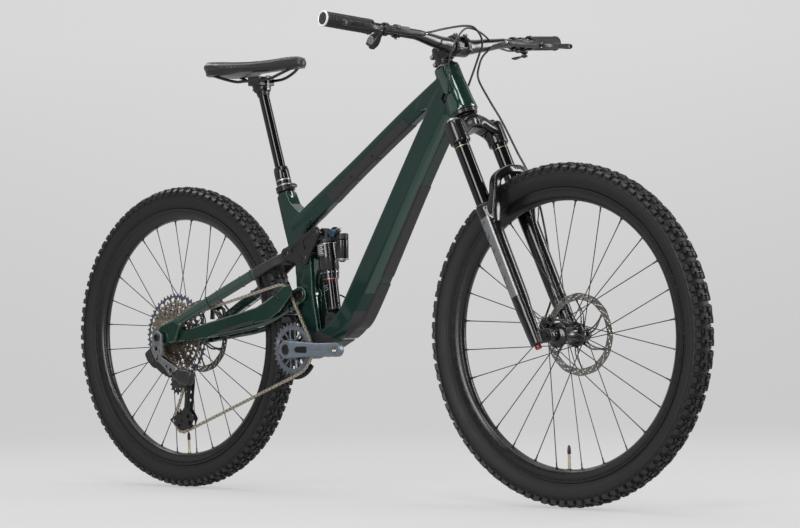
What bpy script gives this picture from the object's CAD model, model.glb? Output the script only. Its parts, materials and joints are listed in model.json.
"""Looks of the mountain bike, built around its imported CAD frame."""
import json
import math
import random

import bmesh
import bpy
import numpy as np
from mathutils import Matrix, Vector, noise

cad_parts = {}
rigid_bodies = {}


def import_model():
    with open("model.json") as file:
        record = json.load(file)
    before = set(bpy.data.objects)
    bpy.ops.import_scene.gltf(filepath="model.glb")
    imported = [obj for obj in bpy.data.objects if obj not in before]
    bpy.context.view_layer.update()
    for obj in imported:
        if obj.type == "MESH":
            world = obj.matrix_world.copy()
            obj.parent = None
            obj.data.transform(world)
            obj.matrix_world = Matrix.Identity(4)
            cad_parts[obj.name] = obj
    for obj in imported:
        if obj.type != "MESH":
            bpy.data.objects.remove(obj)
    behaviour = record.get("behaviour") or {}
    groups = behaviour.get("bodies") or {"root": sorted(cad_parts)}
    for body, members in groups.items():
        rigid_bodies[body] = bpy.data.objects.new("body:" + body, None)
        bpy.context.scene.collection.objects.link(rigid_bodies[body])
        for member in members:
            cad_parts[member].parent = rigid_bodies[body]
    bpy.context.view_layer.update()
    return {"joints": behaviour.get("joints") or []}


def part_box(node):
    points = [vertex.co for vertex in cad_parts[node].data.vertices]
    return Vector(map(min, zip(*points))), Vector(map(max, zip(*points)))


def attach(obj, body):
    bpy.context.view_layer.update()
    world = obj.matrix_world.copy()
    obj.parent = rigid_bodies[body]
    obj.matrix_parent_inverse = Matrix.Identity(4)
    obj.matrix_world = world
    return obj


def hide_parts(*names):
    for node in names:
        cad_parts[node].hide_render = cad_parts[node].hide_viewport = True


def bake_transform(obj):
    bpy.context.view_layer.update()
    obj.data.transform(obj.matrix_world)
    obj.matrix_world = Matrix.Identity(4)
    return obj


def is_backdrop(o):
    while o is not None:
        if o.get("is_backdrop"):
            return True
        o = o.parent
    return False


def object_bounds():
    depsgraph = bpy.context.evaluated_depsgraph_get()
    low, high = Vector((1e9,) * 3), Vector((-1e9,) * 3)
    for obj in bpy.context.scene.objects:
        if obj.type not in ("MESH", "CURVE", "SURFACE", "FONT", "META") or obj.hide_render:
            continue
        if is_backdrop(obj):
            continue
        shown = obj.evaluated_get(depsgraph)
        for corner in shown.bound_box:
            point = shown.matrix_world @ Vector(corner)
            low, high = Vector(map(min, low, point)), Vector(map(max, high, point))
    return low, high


for ob in list(bpy.data.objects):
    bpy.data.objects.remove(ob, do_unlink=True)
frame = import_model()
RNG = random.Random(7)

X, Y, Z = Vector((1, 0, 0)), Vector((0, 1, 0)), Vector((0, 0, 1))
JOINT = {j["name"]: j for j in frame["joints"]}
jp = lambda n: Vector(JOINT[n]["pos_m"])


def mid(node):
    lo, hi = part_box(node)
    return (lo + hi) / 2


# ---------------------------------------------------------------- frame data
FRONT, REAR = jp("front_wheel_spin"), jp("rear_wheel_spin")
TYRE_R = (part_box("front_tyre")[1].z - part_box("front_tyre")[0].z) / 2
S = Vector(JOINT["steering"]["axis"])
N = Vector((S.z, 0, -S.x))
A0 = FRONT - N * 0.044
BB = jp("crank_spin")
MAIN, HORST, ROCK = jp("main_pivot"), jp("horst_pivot"), jp("rocker_pivot")
EYE_L = jp("shock_swing")
SHOCK = Vector(JOINT["shock_stroke"]["axis"])
EYE_U = EYE_L - SHOCK * 0.19957
FR = Vector((-SHOCK.z, 0, SHOCK.x))
RS = Vector((-0.2106, 0, 0.5677))
IDLER = Vector((jp("idler_spin").x, 0, jp("idler_spin").z))
UPP = Vector((jp("upper_pulley_spin").x, 0, jp("upper_pulley_spin").z))
LOWP = Vector((jp("lower_pulley_spin").x, 0, jp("lower_pulley_spin").z))
CAGE = Vector((jp("cage_swing").x, 0, jp("cage_swing").z))
SEAT_D = Vector(JOINT["dropper_travel"]["axis"])
SEAT_C = Vector((-0.240, 0.0, 0.715))
CY = -0.054
PITCH = 0.0127


def steer(s, fwd=0.0, y=0.0):
    return A0 + S * s + N * fwd + Y * y


def seat(z, back=0.0, y=0.0):
    p = SEAT_C + SEAT_D * ((z - SEAT_C.z) / SEAT_D.z)
    return p + Vector((-SEAT_D.z, 0, SEAT_D.x)) * back + Y * y


def pitch_r(t):
    return PITCH / 2 / math.sin(math.pi / t)


# ---------------------------------------------------------------- mesh tools
class B:
    """Collects closed shells into one mesh."""

    def __init__(self):
        self.bm = bmesh.new()

    def loft(self, rings, loop=False, cap=True):
        rows = [[self.bm.verts.new(p) for p in r] for r in rings]
        n, fs = len(rows[0]), []
        for i in range(len(rows) if loop else len(rows) - 1):
            a, b = rows[i], rows[(i + 1) % len(rows)]
            for j in range(n):
                fs.append(self.bm.faces.new((a[j], a[(j + 1) % n], b[(j + 1) % n], b[j])))
        if cap and not loop:
            fs.append(self.bm.faces.new(list(reversed(rows[0]))))
            fs.append(self.bm.faces.new(rows[-1]))
        return fs

    def tube(self, pts, size, n=20, up=Y, power=2.0, smooth=0):
        pts = [Vector(p) for p in pts]
        if not isinstance(size, list):
            size = [size] * len(pts)
        size = [s if isinstance(s, tuple) else (s, s) for s in size]
        if smooth:
            pts, size = spline(pts, size, smooth)
        rings = []
        for i, p in enumerate(pts):
            t = (pts[min(i + 1, len(pts) - 1)] - pts[max(i - 1, 0)]).normalized()
            u = (up - t * up.dot(t)).normalized()
            rings.append(section(p, u, t.cross(u), size[i][0], size[i][1], n, power))
        return self.loft(rings)

    def cyl(self, p, q, r, n=24, r2=None, bev=0.0):
        p, q = Vector(p), Vector(q)
        d = (q - p).normalized()
        up = X if abs(d.x) < 0.8 else Z
        r2 = r if r2 is None else r2
        if bev > 0:
            pts = [p, p + d * bev, q - d * bev, q]
            return self.tube(pts, [r - bev, r, r2, r2 - bev], n, up)
        return self.tube([p, q], [r, r2], n, up)

    def ycyl(self, c, r, y0, y1, n=24, bev=0.0):
        return self.cyl((c[0], y0, c[2]), (c[0], y1, c[2]), r, n, None, bev)

    def turn(self, prof, c=(0, 0, 0), axis=Y, n=48):
        axis = Vector(axis).normalized()
        u = X if abs(axis.x) < 0.8 else Z
        u = (u - axis * u.dot(axis)).normalized()
        v, c = axis.cross(u), Vector(c)
        rings = []
        for i in range(n):
            t = 2 * math.pi * i / n
            d = u * math.cos(t) + v * math.sin(t)
            rings.append([c + d * max(r, 1e-5) + axis * h for r, h in prof])
        return self.loft(rings, loop=True)

    def block(self, c, hx, hy, hz, ax=X, up=Z, taper=1.0):
        c, ax, up = Vector(c), Vector(ax).normalized(), Vector(up)
        up = (up - ax * up.dot(ax)).normalized()
        side = up.cross(ax)
        return self.loft([[c + ax * i + side * (hy * j * t) + up * (hz * k * t)
                           for j, k in ((-1, -1), (1, -1), (1, 1), (-1, 1))]
                          for i, t in ((-hx, 1.0), (hx, taper))])

    def plate(self, outline, y0, y1, holes=(), bev=0.0):
        """An (x, z) outline between y0 and y1, with round holes (x, z, r), filled by triangulation."""
        bm = bmesh.new()
        loops = [outline] + [[(hx + r * math.cos(2 * math.pi * k / 20), hz + r * math.sin(2 * math.pi * k / 20))
                              for k in range(20)] for hx, hz, r in holes]
        edges = []
        for lp in loops:
            vs = [bm.verts.new((x, y0, z)) for x, z in lp]
            edges += [bm.edges.new((vs[i], vs[(i + 1) % len(vs)])) for i in range(len(vs))]
        bmesh.ops.triangle_fill(bm, edges=edges, use_beauty=True, use_dissolve=False)
        geo = bmesh.ops.extrude_face_region(bm, geom=list(bm.faces))
        for v in [g for g in geo["geom"] if isinstance(g, bmesh.types.BMVert)]:
            v.co.y = y1
        bmesh.ops.recalc_face_normals(bm, faces=bm.faces)
        self.merge(bm)
        return self

    def merge(self, bm):
        me = bpy.data.meshes.new("t")
        bm.to_mesh(me)
        bm.free()
        self.bm.from_mesh(me)
        bpy.data.meshes.remove(me)

    def add_mesh(self, me):
        self.bm.from_mesh(me)

    def move(self, m):
        bmesh.ops.transform(self.bm, matrix=m, verts=self.bm.verts)
        return self

    def mesh(self, name="m"):
        bmesh.ops.remove_doubles(self.bm, verts=self.bm.verts, dist=1e-7)
        bmesh.ops.recalc_face_normals(self.bm, faces=self.bm.faces)
        me = bpy.data.meshes.new(name)
        self.bm.to_mesh(me)
        self.bm.free()
        return me


def section(c, u, v, a, b, n, power=2.0):
    out = []
    for i in range(n):
        t = 2 * math.pi * (i + 0.5) / n
        cs, sn = math.cos(t), math.sin(t)
        out.append(c + u * (a * math.copysign(abs(cs) ** (2 / power), cs))
                   + v * (b * math.copysign(abs(sn) ** (2 / power), sn)))
    return out


def spline(pts, size, k):
    """Catmull-Rom through the points, k steps a span; sizes follow."""
    P, Q = [], []
    m = len(pts)
    for i in range(m - 1):
        p0, p1, p2, p3 = (pts[max(i - 1, 0)], pts[i], pts[i + 1], pts[min(i + 2, m - 1)])
        s0, s1, s2, s3 = (size[max(i - 1, 0)], size[i], size[i + 1], size[min(i + 2, m - 1)])
        for j in range(k):
            t = j / k
            c = (-0.5 * t + t * t - 0.5 * t ** 3, 1 - 2.5 * t * t + 1.5 * t ** 3,
                 0.5 * t + 2 * t * t - 1.5 * t ** 3, -0.5 * t * t + 0.5 * t ** 3)
            P.append(p0 * c[0] + p1 * c[1] + p2 * c[2] + p3 * c[3])
            e = t * t * (3 - 2 * t)
            Q.append(tuple(s1[w] * (1 - e) + s2[w] * e for w in (0, 1)))
    P.append(pts[-1])
    Q.append(size[-1])
    return P, Q


def hull2(c1, r1, c2, r2, n=28):
    dx, dz = c2[0] - c1[0], c2[1] - c1[1]
    d, base = math.hypot(dx, dz), math.atan2(dz, dx)
    b = math.acos(max(-1, min(1, (r1 - r2) / d)))
    out = []
    for i in range(n // 2 + 1):
        t = base + b + (2 * math.pi - 2 * b) * i / (n // 2)
        out.append((c1[0] + r1 * math.cos(t), c1[1] + r1 * math.sin(t)))
    for i in range(n // 2 + 1):
        t = base - b + 2 * b * i / (n // 2)
        out.append((c2[0] + r2 * math.cos(t), c2[1] + r2 * math.sin(t)))
    return out


def xz(v):
    return (v.x, v.z)


def link(b, p, rp, q, rq, y0, y1, holes=(), n=28):
    b.plate(hull2(xz(Vector(p)), rp, xz(Vector(q)), rq, n), y0, y1, holes)


def piece(name, b, mat, body, replaces=(), bevel=0.0, angle=32, segs=2, sub=0, sharp=True):
    """Finish a builder or mesh as a shown piece that rides on a body."""
    me = b.mesh(name) if isinstance(b, B) else b
    me.name = name
    ob = bpy.data.objects.new(name, me)
    bpy.context.scene.collection.objects.link(ob)
    me.materials.clear()
    me.materials.append(mat)
    me.shade_smooth()
    if sharp:
        me.set_sharp_from_angle(angle=math.radians(angle))
    if bevel:
        m = ob.modifiers.new("edge", "BEVEL")
        m.width, m.segments, m.limit_method, m.angle_limit = bevel, segs, "ANGLE", math.radians(angle)
        m.harden_normals = False
        w = ob.modifiers.new("wn", "WEIGHTED_NORMAL")
        w.keep_sharp = True
    if sub:
        m = ob.modifiers.new("sub", "SUBSURF")
        m.levels = m.render_levels = sub
    if body:
        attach(ob, body)
    if replaces:
        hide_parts(*replaces)
    return ob


def apply_mods(ob):
    dg = bpy.context.evaluated_depsgraph_get()
    me = bpy.data.meshes.new_from_object(ob.evaluated_get(dg))
    ob.modifiers.clear()
    ob.data = me
    return me


def fuse(meshes, voxel, smooth=8, cut=(), factor=0.5):
    """Union of overlapping shells as one smooth skin: voxel remesh, then relax."""
    b = B()
    for me in meshes:
        b.add_mesh(me)
    ob = bpy.data.objects.new("fuse", b.mesh("fuse"))
    bpy.context.scene.collection.objects.link(ob)
    m = ob.modifiers.new("r", "REMESH")
    m.mode, m.voxel_size, m.adaptivity = "VOXEL", voxel, 0.0
    if smooth:
        s = ob.modifiers.new("s", "SMOOTH")
        s.factor, s.iterations = factor, smooth
    tools = []
    for c in cut:
        t = bpy.data.objects.new("tool", c)
        bpy.context.scene.collection.objects.link(t)
        tools.append(t)
        d = ob.modifiers.new("d", "BOOLEAN")
        d.operation, d.object, d.solver = "DIFFERENCE", t, "EXACT"
    me = apply_mods(ob)
    for t in tools:
        bpy.data.objects.remove(t, do_unlink=True)
    bpy.data.objects.remove(ob, do_unlink=True)
    return me


def one(fn):
    b = B()
    fn(b)
    return b.mesh()


# ---------------------------------------------------------------- materials
def mat(name, col, rough, metal=0.0, coat=0.0, coat_r=0.05, nscale=60.0, cvar=0.06, rvar=0.06,
        bump=0.02, bscale=400.0, wear=None, flake=0.0, spec=0.5, aniso=0.0, dist=0.0004, sheen=0.0, stripes=None):
    m = bpy.data.materials.new(name)
    m.use_nodes = True
    nt = m.node_tree
    L, nd = nt.links, nt.nodes
    p = nd["Principled BSDF"]
    p.inputs["Metallic"].default_value = metal
    p.inputs["Specular IOR Level"].default_value = spec
    p.inputs["Coat Weight"].default_value = coat
    p.inputs["Coat Roughness"].default_value = coat_r
    p.inputs["Anisotropic"].default_value = aniso
    p.inputs["Sheen Weight"].default_value = sheen
    tc = nd.new("ShaderNodeTexCoord")
    n1 = nd.new("ShaderNodeTexNoise")
    n1.inputs["Scale"].default_value = nscale
    n1.inputs["Detail"].default_value = 6.0
    L.new(tc.outputs["Object"], n1.inputs["Vector"])
    ramp = nd.new("ShaderNodeValToRGB")
    c = Vector(col)
    ramp.color_ramp.elements[0].position, ramp.color_ramp.elements[1].position = 0.3, 0.7
    ramp.color_ramp.elements[0].color = (*[max(0, v * (1 - cvar)) for v in c], 1)
    ramp.color_ramp.elements[1].color = (*[min(1, v * (1 + cvar)) for v in c], 1)
    L.new(n1.outputs["Fac"], ramp.inputs["Fac"])
    colour = ramp.outputs["Color"]
    mr = nd.new("ShaderNodeMapRange")
    mr.inputs["From Min"].default_value, mr.inputs["From Max"].default_value = 0.3, 0.7
    mr.inputs["To Min"].default_value, mr.inputs["To Max"].default_value = max(0.02, rough - rvar), min(1, rough + rvar)
    L.new(n1.outputs["Fac"], mr.inputs["Value"])
    rough_out = mr.outputs["Result"]
    if wear:
        g = nd.new("ShaderNodeNewGeometry")
        wr = nd.new("ShaderNodeValToRGB")
        wr.color_ramp.elements[0].position, wr.color_ramp.elements[1].position = 0.53, 0.62
        L.new(g.outputs["Pointiness"], wr.inputs["Fac"])
        mul = nd.new("ShaderNodeMath")
        mul.operation = "MULTIPLY"
        L.new(wr.outputs["Color"], mul.inputs[0])
        L.new(n1.outputs["Fac"], mul.inputs[1])
        mx = nd.new("ShaderNodeMix")
        mx.data_type = "RGBA"
        L.new(mul.outputs[0], mx.inputs["Factor"])
        L.new(colour, mx.inputs[6])
        mx.inputs[7].default_value = (*wear, 1)
        colour = mx.outputs[2]
    L.new(colour, p.inputs["Base Color"])
    L.new(rough_out, p.inputs["Roughness"])
    n2 = nd.new("ShaderNodeTexNoise")
    n2.inputs["Scale"].default_value = bscale
    n2.inputs["Detail"].default_value = 4.0
    L.new(tc.outputs["Object"], n2.inputs["Vector"])
    height = n2.outputs["Fac"]
    if flake:
        v = nd.new("ShaderNodeTexVoronoi")
        v.inputs["Scale"].default_value = 2600.0
        L.new(tc.outputs["Object"], v.inputs["Vector"])
        mf = nd.new("ShaderNodeMix")
        mf.data_type = "RGBA"
        mf.blend_type = "OVERLAY"
        mf.inputs["Factor"].default_value = flake
        L.new(colour, mf.inputs[6])
        L.new(v.outputs["Color"], mf.inputs[7])
        L.new(mf.outputs[2], p.inputs["Base Color"])
    if stripes:
        # brushed or ribbed lines: (scale vector, strength)
        mp = nd.new("ShaderNodeMapping")
        mp.inputs["Scale"].default_value = stripes[0]
        L.new(tc.outputs["Object"], mp.inputs["Vector"])
        n3 = nd.new("ShaderNodeTexNoise")
        n3.inputs["Scale"].default_value = 1.0
        n3.inputs["Detail"].default_value = 3.0
        L.new(mp.outputs["Vector"], n3.inputs["Vector"])
        ad = nd.new("ShaderNodeMath")
        ad.operation = "MULTIPLY_ADD"
        ad.inputs[1].default_value = stripes[1]
        L.new(n3.outputs["Fac"], ad.inputs[0])
        L.new(height, ad.inputs[2])
        height = ad.outputs[0]
    if bump:
        bp = nd.new("ShaderNodeBump")
        bp.inputs["Strength"].default_value = bump
        bp.inputs["Distance"].default_value = dist
        L.new(height, bp.inputs["Height"])
        L.new(bp.outputs["Normal"], p.inputs["Normal"])
    return m


PAINT = mat("paint_green", (0.0035, 0.021, 0.0165), 0.30, 0.4, 0.42, 0.05, 9.0, 0.10, 0.03, 0.010, 90.0, flake=0.10, spec=0.22)
PAINT_D = mat("paint_green_deep", (0.0012, 0.026, 0.0155), 0.2, 0.4, 1.0, 0.03, 9.0, 0.10, 0.03, 0.010, 90.0, flake=0.10)
GUARD = mat("guard_charcoal", (0.013, 0.013, 0.0145), 0.5, 0.0, 0.0, 0.1, 300.0, 0.12, 0.05, 0.25, 1400.0, spec=0.4)
GLOSS = mat("gloss_black", (0.0025, 0.0025, 0.003), 0.22, 0.0, 0.3, 0.12, 30.0, 0.15, 0.03, 0.0015, 60.0, spec=0.38)
STANCH = mat("stanchion_black", (0.006, 0.0055, 0.0055), 0.13, 0.75, 0.45, 0.05, 40.0, 0.1, 0.02, 0.004, 200.0)
ALLOY = mat("alloy_black", (0.005, 0.005, 0.0055), 0.3, 0.35, 0.15, 0.2, 120.0, 0.15, 0.07, 0.06, 900.0, wear=(0.05, 0.05, 0.052))
ALLOY_M = mat("alloy_black_matt", (0.0065, 0.0065, 0.007), 0.42, 0.2, 0.0, 0.2, 150.0, 0.15, 0.06, 0.10, 1300.0, wear=(0.045, 0.045, 0.046))
GREY = mat("alloy_grey", (0.22, 0.225, 0.24), 0.36, 0.9, 0.0, 0.1, 90.0, 0.08, 0.06, 0.05, 900.0, wear=(0.6, 0.6, 0.62))
STEEL = mat("steel_bright", (0.34, 0.335, 0.33), 0.30, 1.0, 0.0, 0.1, 90.0, 0.10, 0.08, 0.05, 700.0, aniso=0.4)
ROTOR = mat("rotor_steel", (0.25, 0.235, 0.22), 0.33, 1.0, 0.0, 0.1, 60.0, 0.12, 0.06, 0.10, 500.0, aniso=0.6,
            stripes=((30, 900, 30), 0.8))
CRANK = mat("crank_blue_grey", (0.125, 0.15, 0.18), 0.38, 0.55, 0.2, 0.25, 45.0, 0.10, 0.06, 0.05, 900.0, wear=(0.35, 0.37, 0.40))
RING = mat("ring_grey", (0.13, 0.145, 0.17), 0.38, 0.8, 0.0, 0.2, 80.0, 0.10, 0.06, 0.05, 900.0, wear=(0.55, 0.55, 0.55))
CHAIN = mat("chain_plate", (0.36, 0.305, 0.235), 0.34, 0.9, 0.0, 0.2, 260.0, 0.18, 0.08, 0.06, 900.0, wear=(0.60, 0.56, 0.48))
CHAIN_D = mat("chain_roller", (0.15, 0.13, 0.11), 0.34, 0.95, 0.0, 0.2, 260.0, 0.2, 0.08, 0.06, 900.0)
COG = mat("cog_bronze", (0.17, 0.13, 0.098), 0.34, 0.95, 0.0, 0.2, 160.0, 0.16, 0.08, 0.06, 700.0, wear=(0.34, 0.31, 0.27))
COG_S = mat("cog_silver", (0.17, 0.162, 0.155), 0.32, 0.95, 0.0, 0.2, 160.0, 0.14, 0.08, 0.06, 700.0)
COG_D = mat("cog_dark", (0.105, 0.12, 0.15), 0.38, 0.85, 0.0, 0.2, 160.0, 0.14, 0.08, 0.06, 700.0)
TYRE = mat("tyre_rubber", (0.0062, 0.0062, 0.0062), 0.6, 0.0, 0.0, 0.2, 25.0, 0.25, 0.08, 0.30, 900.0, spec=0.35, dist=0.0005)
KNOB = mat("tread_rubber", (0.01, 0.01, 0.01), 0.52, 0.0, 0.0, 0.2, 25.0, 0.25, 0.08, 0.20, 700.0, spec=0.4)
RUBBER = mat("rubber_black", (0.0085, 0.0085, 0.009), 0.55, 0.0, 0.0, 0.2, 90.0, 0.2, 0.08, 0.20, 1200.0, spec=0.4)
RIM = mat("rim_black", (0.0045, 0.0045, 0.005), 0.26, 0.25, 0.1, 0.3, 60.0, 0.15, 0.05, 0.06, 900.0, spec=0.5)
SPOKE = mat("spoke_black", (0.005, 0.005, 0.005), 0.35, 0.2, 0.2, 0.2, 80.0, 0.15, 0.05, 0.02, 900.0)
PLASTIC = mat("plastic_black", (0.006, 0.006, 0.0065), 0.38, 0.0, 0.0, 0.2, 200.0, 0.12, 0.06, 0.14, 1600.0, spec=0.45)
PLASTIC_G = mat("plastic_grey", (0.011, 0.0115, 0.0125), 0.38, 0.1, 0.1, 0.3, 200.0, 0.12, 0.06, 0.10, 1600.0)
SADDLE = mat("saddle_cover", (0.0105, 0.0105, 0.0115), 0.38, 0.0, 0.0, 0.2, 60.0, 0.14, 0.07, 0.35, 2200.0, spec=0.5, dist=0.0003)
RED = mat("anodised_red", (0.2, 0.007, 0.009), 0.28, 0.7, 0.4, 0.1, 80.0, 0.1, 0.05, 0.02, 700.0)
BLUE = mat("anodised_blue", (0.014, 0.07, 0.135), 0.28, 0.75, 0.4, 0.1, 80.0, 0.1, 0.05, 0.02, 700.0)
BRASS = mat("brass_tan", (0.42, 0.36, 0.26), 0.30, 0.95, 0.0, 0.1, 80.0, 0.1, 0.05, 0.03, 700.0)
DECAL = mat("decal_grey", (0.3, 0.31, 0.32), 0.38, 0.15, 0.6, 0.06, 60.0, 0.05, 0.04, 0.01, 300.0)
DECAL_D = mat("decal_dark", (0.022, 0.024, 0.027), 0.36, 0.1, 0.6, 0.06, 60.0, 0.05, 0.04, 0.01, 300.0)
GOLD = mat("ring_tan", (0.50, 0.42, 0.30), 0.35, 0.8, 0.2, 0.1, 60.0, 0.05, 0.04, 0.01, 300.0)
HOSE = mat("hose_black", (0.006, 0.006, 0.0065), 0.36, 0.0, 0.1, 0.2, 200.0, 0.15, 0.06, 0.05, 1500.0)
PANEL = mat("panel_grey", (0.115, 0.118, 0.122), 0.34, 0.35, 0.7, 0.06, 60.0, 0.06, 0.04, 0.01, 300.0)
WHITE = mat("lens_pale", (0.6, 0.61, 0.62), 0.30, 0.2, 0.3, 0.1, 60.0, 0.04, 0.04, 0.01, 300.0)


# ---------------------------------------------------------------- wheels
TYRE_OUT = [(0.3175, -0.0150), (0.3190, -0.0172), (0.3230, -0.0196), (0.3290, -0.0234), (0.3370, -0.0268),
            (0.3450, -0.0280), (0.3515, -0.0268), (0.3568, -0.0236), (0.3608, -0.0180), (0.3636, -0.0110),
            (0.3648, -0.0050), (0.3651, 0.0)]
TYRE_PROF = TYRE_OUT + [(r, -h) for r, h in TYRE_OUT[-2::-1]]


def tread_base(h):
    """(radius, outward tilt) of the casing at a sideways offset h on the tread side."""
    pts = TYRE_PROF[5:-5]
    for (r1, h1), (r2, h2) in zip(pts, pts[1:]):
        if h1 <= h <= h2:
            t = (h - h1) / (h2 - h1)
            return r1 + (r2 - r1) * t, math.atan2(-(r2 - r1), (h2 - h1))
    return pts[0][0], 1.2


def knob(b, c, ang, h, along, across, high, skew=0.0, tilt=None, ramp=0.0):
    """A tread block: ang is its place round the wheel, h its sideways place."""
    r, tl = tread_base(h)
    tl = tl if tilt is None else tilt
    er = Vector((math.cos(ang), 0, math.sin(ang)))
    et = Vector((-math.sin(ang), 0, math.cos(ang)))
    up = er * math.cos(tl) + Y * math.sin(tl)
    side = Y * math.cos(tl) - er * math.sin(tl)
    fw = et * math.cos(skew) + side * math.sin(skew)
    sd = side * math.cos(skew) - et * math.sin(skew)
    base = c + er * r + Y * h
    rings = []
    for d, k in ((-0.0012, 1.16), (high - 0.0009, 1.0), (high, 0.88)):
        ring = []
        for i, j in ((-1, -1), (1, -1), (1, 1), (-1, 1)):
            dd = d - (ramp if (i < 0 and d > 0) else 0.0)
            ring.append(base + fw * (along * i * k) + sd * (across * j * k) + up * dd)
        rings.append(ring)
    b.loft(rings)


def tyre(side, c):
    b = B()
    b.turn(TYRE_PROF + [(0.3180, 0.0135), (0.3190, 0.0160), (0.3370, 0.0250), (0.3450, 0.0262), (0.3510, 0.0250),
                        (0.3585, 0.0180), (0.3632, 0.0), (0.3585, -0.0180), (0.3510, -0.0250), (0.3450, -0.0262),
                        (0.3370, -0.0250), (0.3190, -0.0160), (0.3180, -0.0135)], c, Y, 160)
    # mould lines and a raised bead strip on both walls
    for s in (-1, 1):
        for r, h, w in ((0.3212, 0.0188, 0.0005), (0.3250, 0.0209, 0.0004), (0.3480, 0.0283, 0.00045)):
            b.turn([(r - w, s * (h - 0.0006)), (r - w, s * (h + w * 0.9)), (r + w, s * (h + w * 0.9)),
                    (r + w, s * (h - 0.0006))][::s], c, Y, 120)
    piece(side + "_tyre_casing", b, TYRE, side + "_wheel", [side + "_tyre"], angle=50)
    k = B()
    n = 96
    for i in range(n):
        t = 2 * math.pi * i / n
        dt = 2 * math.pi / n
        odd = i % 2
        for s in (-1, 1):
            off = (0.25 if s > 0 else 0.0) * dt
            # shoulder blocks, long and short in turn, with a small sipe block behind
            knob(k, c, t + off, s * 0.0232, 0.0070 if odd else 0.0060, 0.0044, 0.0066, 0.0, s * 0.66)
            knob(k, c, t + off + dt * 0.5, s * 0.0205, 0.0018, 0.0018, 0.0016, 0.0, s * 0.62)
            # paired centre blocks, split by a sipe
            h = 0.0052 if odd else 0.0078
            knob(k, c, t + dt * 0.10, s * h, 0.0044, 0.0033 if odd else 0.0038, 0.0069, s * 0.10, ramp=0.0014)
            knob(k, c, t + dt * 0.42, s * (h - 0.0008), 0.0019, 0.0030, 0.0058, s * 0.10)
            if odd:
                knob(k, c, t + off + dt * 0.5, s * 0.0150, 0.0060, 0.0028, 0.0066, -s * 0.12)
            else:
                knob(k, c, t + off + dt * 0.2, s * 0.0158, 0.0036, 0.0022, 0.0052, -s * 0.12)
            # ribs on the wall below each shoulder block
            er = Vector((math.cos(t + off), 0, math.sin(t + off)))
            et = Vector((-math.sin(t + off), 0, math.cos(t + off)))
            p = c + er * 0.3520 + Y * (s * 0.0268)
            k.block(p, 0.0014, 0.0022, 0.0010, (er * 0.85 - Y * s * 0.35), et, 0.6)
    piece(side + "_tyre_knobs", k, KNOB, side + "_wheel", angle=20)


def rim(side, c, valve):
    b = B()
    b.turn([(0.3176, -0.0166), (0.3168, -0.0176), (0.3140, -0.0178), (0.3080, -0.0172), (0.3010, -0.0154),
            (0.2945, -0.0118), (0.2905, -0.0072), (0.2888, -0.0024), (0.2888, 0.0024), (0.2905, 0.0072),
            (0.2945, 0.0118), (0.3010, 0.0154), (0.3080, 0.0172), (0.3140, 0.0178), (0.3168, 0.0176),
            (0.3176, 0.0166), (0.3170, 0.0146), (0.3120, 0.0136), (0.3110, 0.0090), (0.3095, 0.0040),
            (0.3095, -0.0040), (0.3110, -0.0090), (0.3120, -0.0136), (0.3170, -0.0146)], c, Y, 192)
    piece(side + "_rim_shell", b, RIM, side + "_wheel", [side + "_rim"], angle=28)
    # dark outline strokes where the maker's graphics sit, with no letters
    g = B()
    for a0, a1 in ((2.62, 3.30), (5.76, 6.44)):
        for s in (-1, 1):
            for r0, r1 in ((0.2990, 0.2996), (0.3096, 0.3102)):
                m = 30
                pts = []
                for q in range(m + 1):
                    t = a0 + (a1 - a0) * q / m
                    pts.append((t, q))
                rings = []
                for t, q in pts:
                    e = Vector((math.cos(t), 0, math.sin(t)))
                    h0 = 0.0149 if r0 < 0.305 else 0.0173
                    rings.append([c + e * rr + Y * (s * hh) for rr, hh in
                                  ((r0, h0 - 0.0004), (r1, h0 - 0.0004), (r1, h0 + 0.00045), (r0, h0 + 0.00035))])
                g.loft(rings)
    piece(side + "_rim_lines", g, DECAL_D, side + "_wheel")
    v = B()
    e = Vector((math.cos(valve), 0, math.sin(valve)))
    p = lambda r: c + e * r
    v.cyl(p(0.2900), p(0.2480), 0.0030, 16, 0.0028)
    for i in range(16):
        v.cyl(p(0.2860 - 0.0021 * i), p(0.2870 - 0.0021 * i), 0.0033, 14)
    piece(side + "_valve_stem", v, BRASS, side + "_wheel")
    v = B()
    v.cyl(p(0.2905), p(0.2872), 0.0052, 20, 0.0048)
    v.tube([p(0.2560), p(0.2535), p(0.2500), p(0.2425), p(0.2405), p(0.2385), p(0.2370)],
           [0.0034, 0.0041, 0.0041, 0.0036, 0.0030, 0.0026, 0.0014], 18, Y)
    piece(side + "_valve_cap", v, PLASTIC, side + "_wheel")


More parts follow.
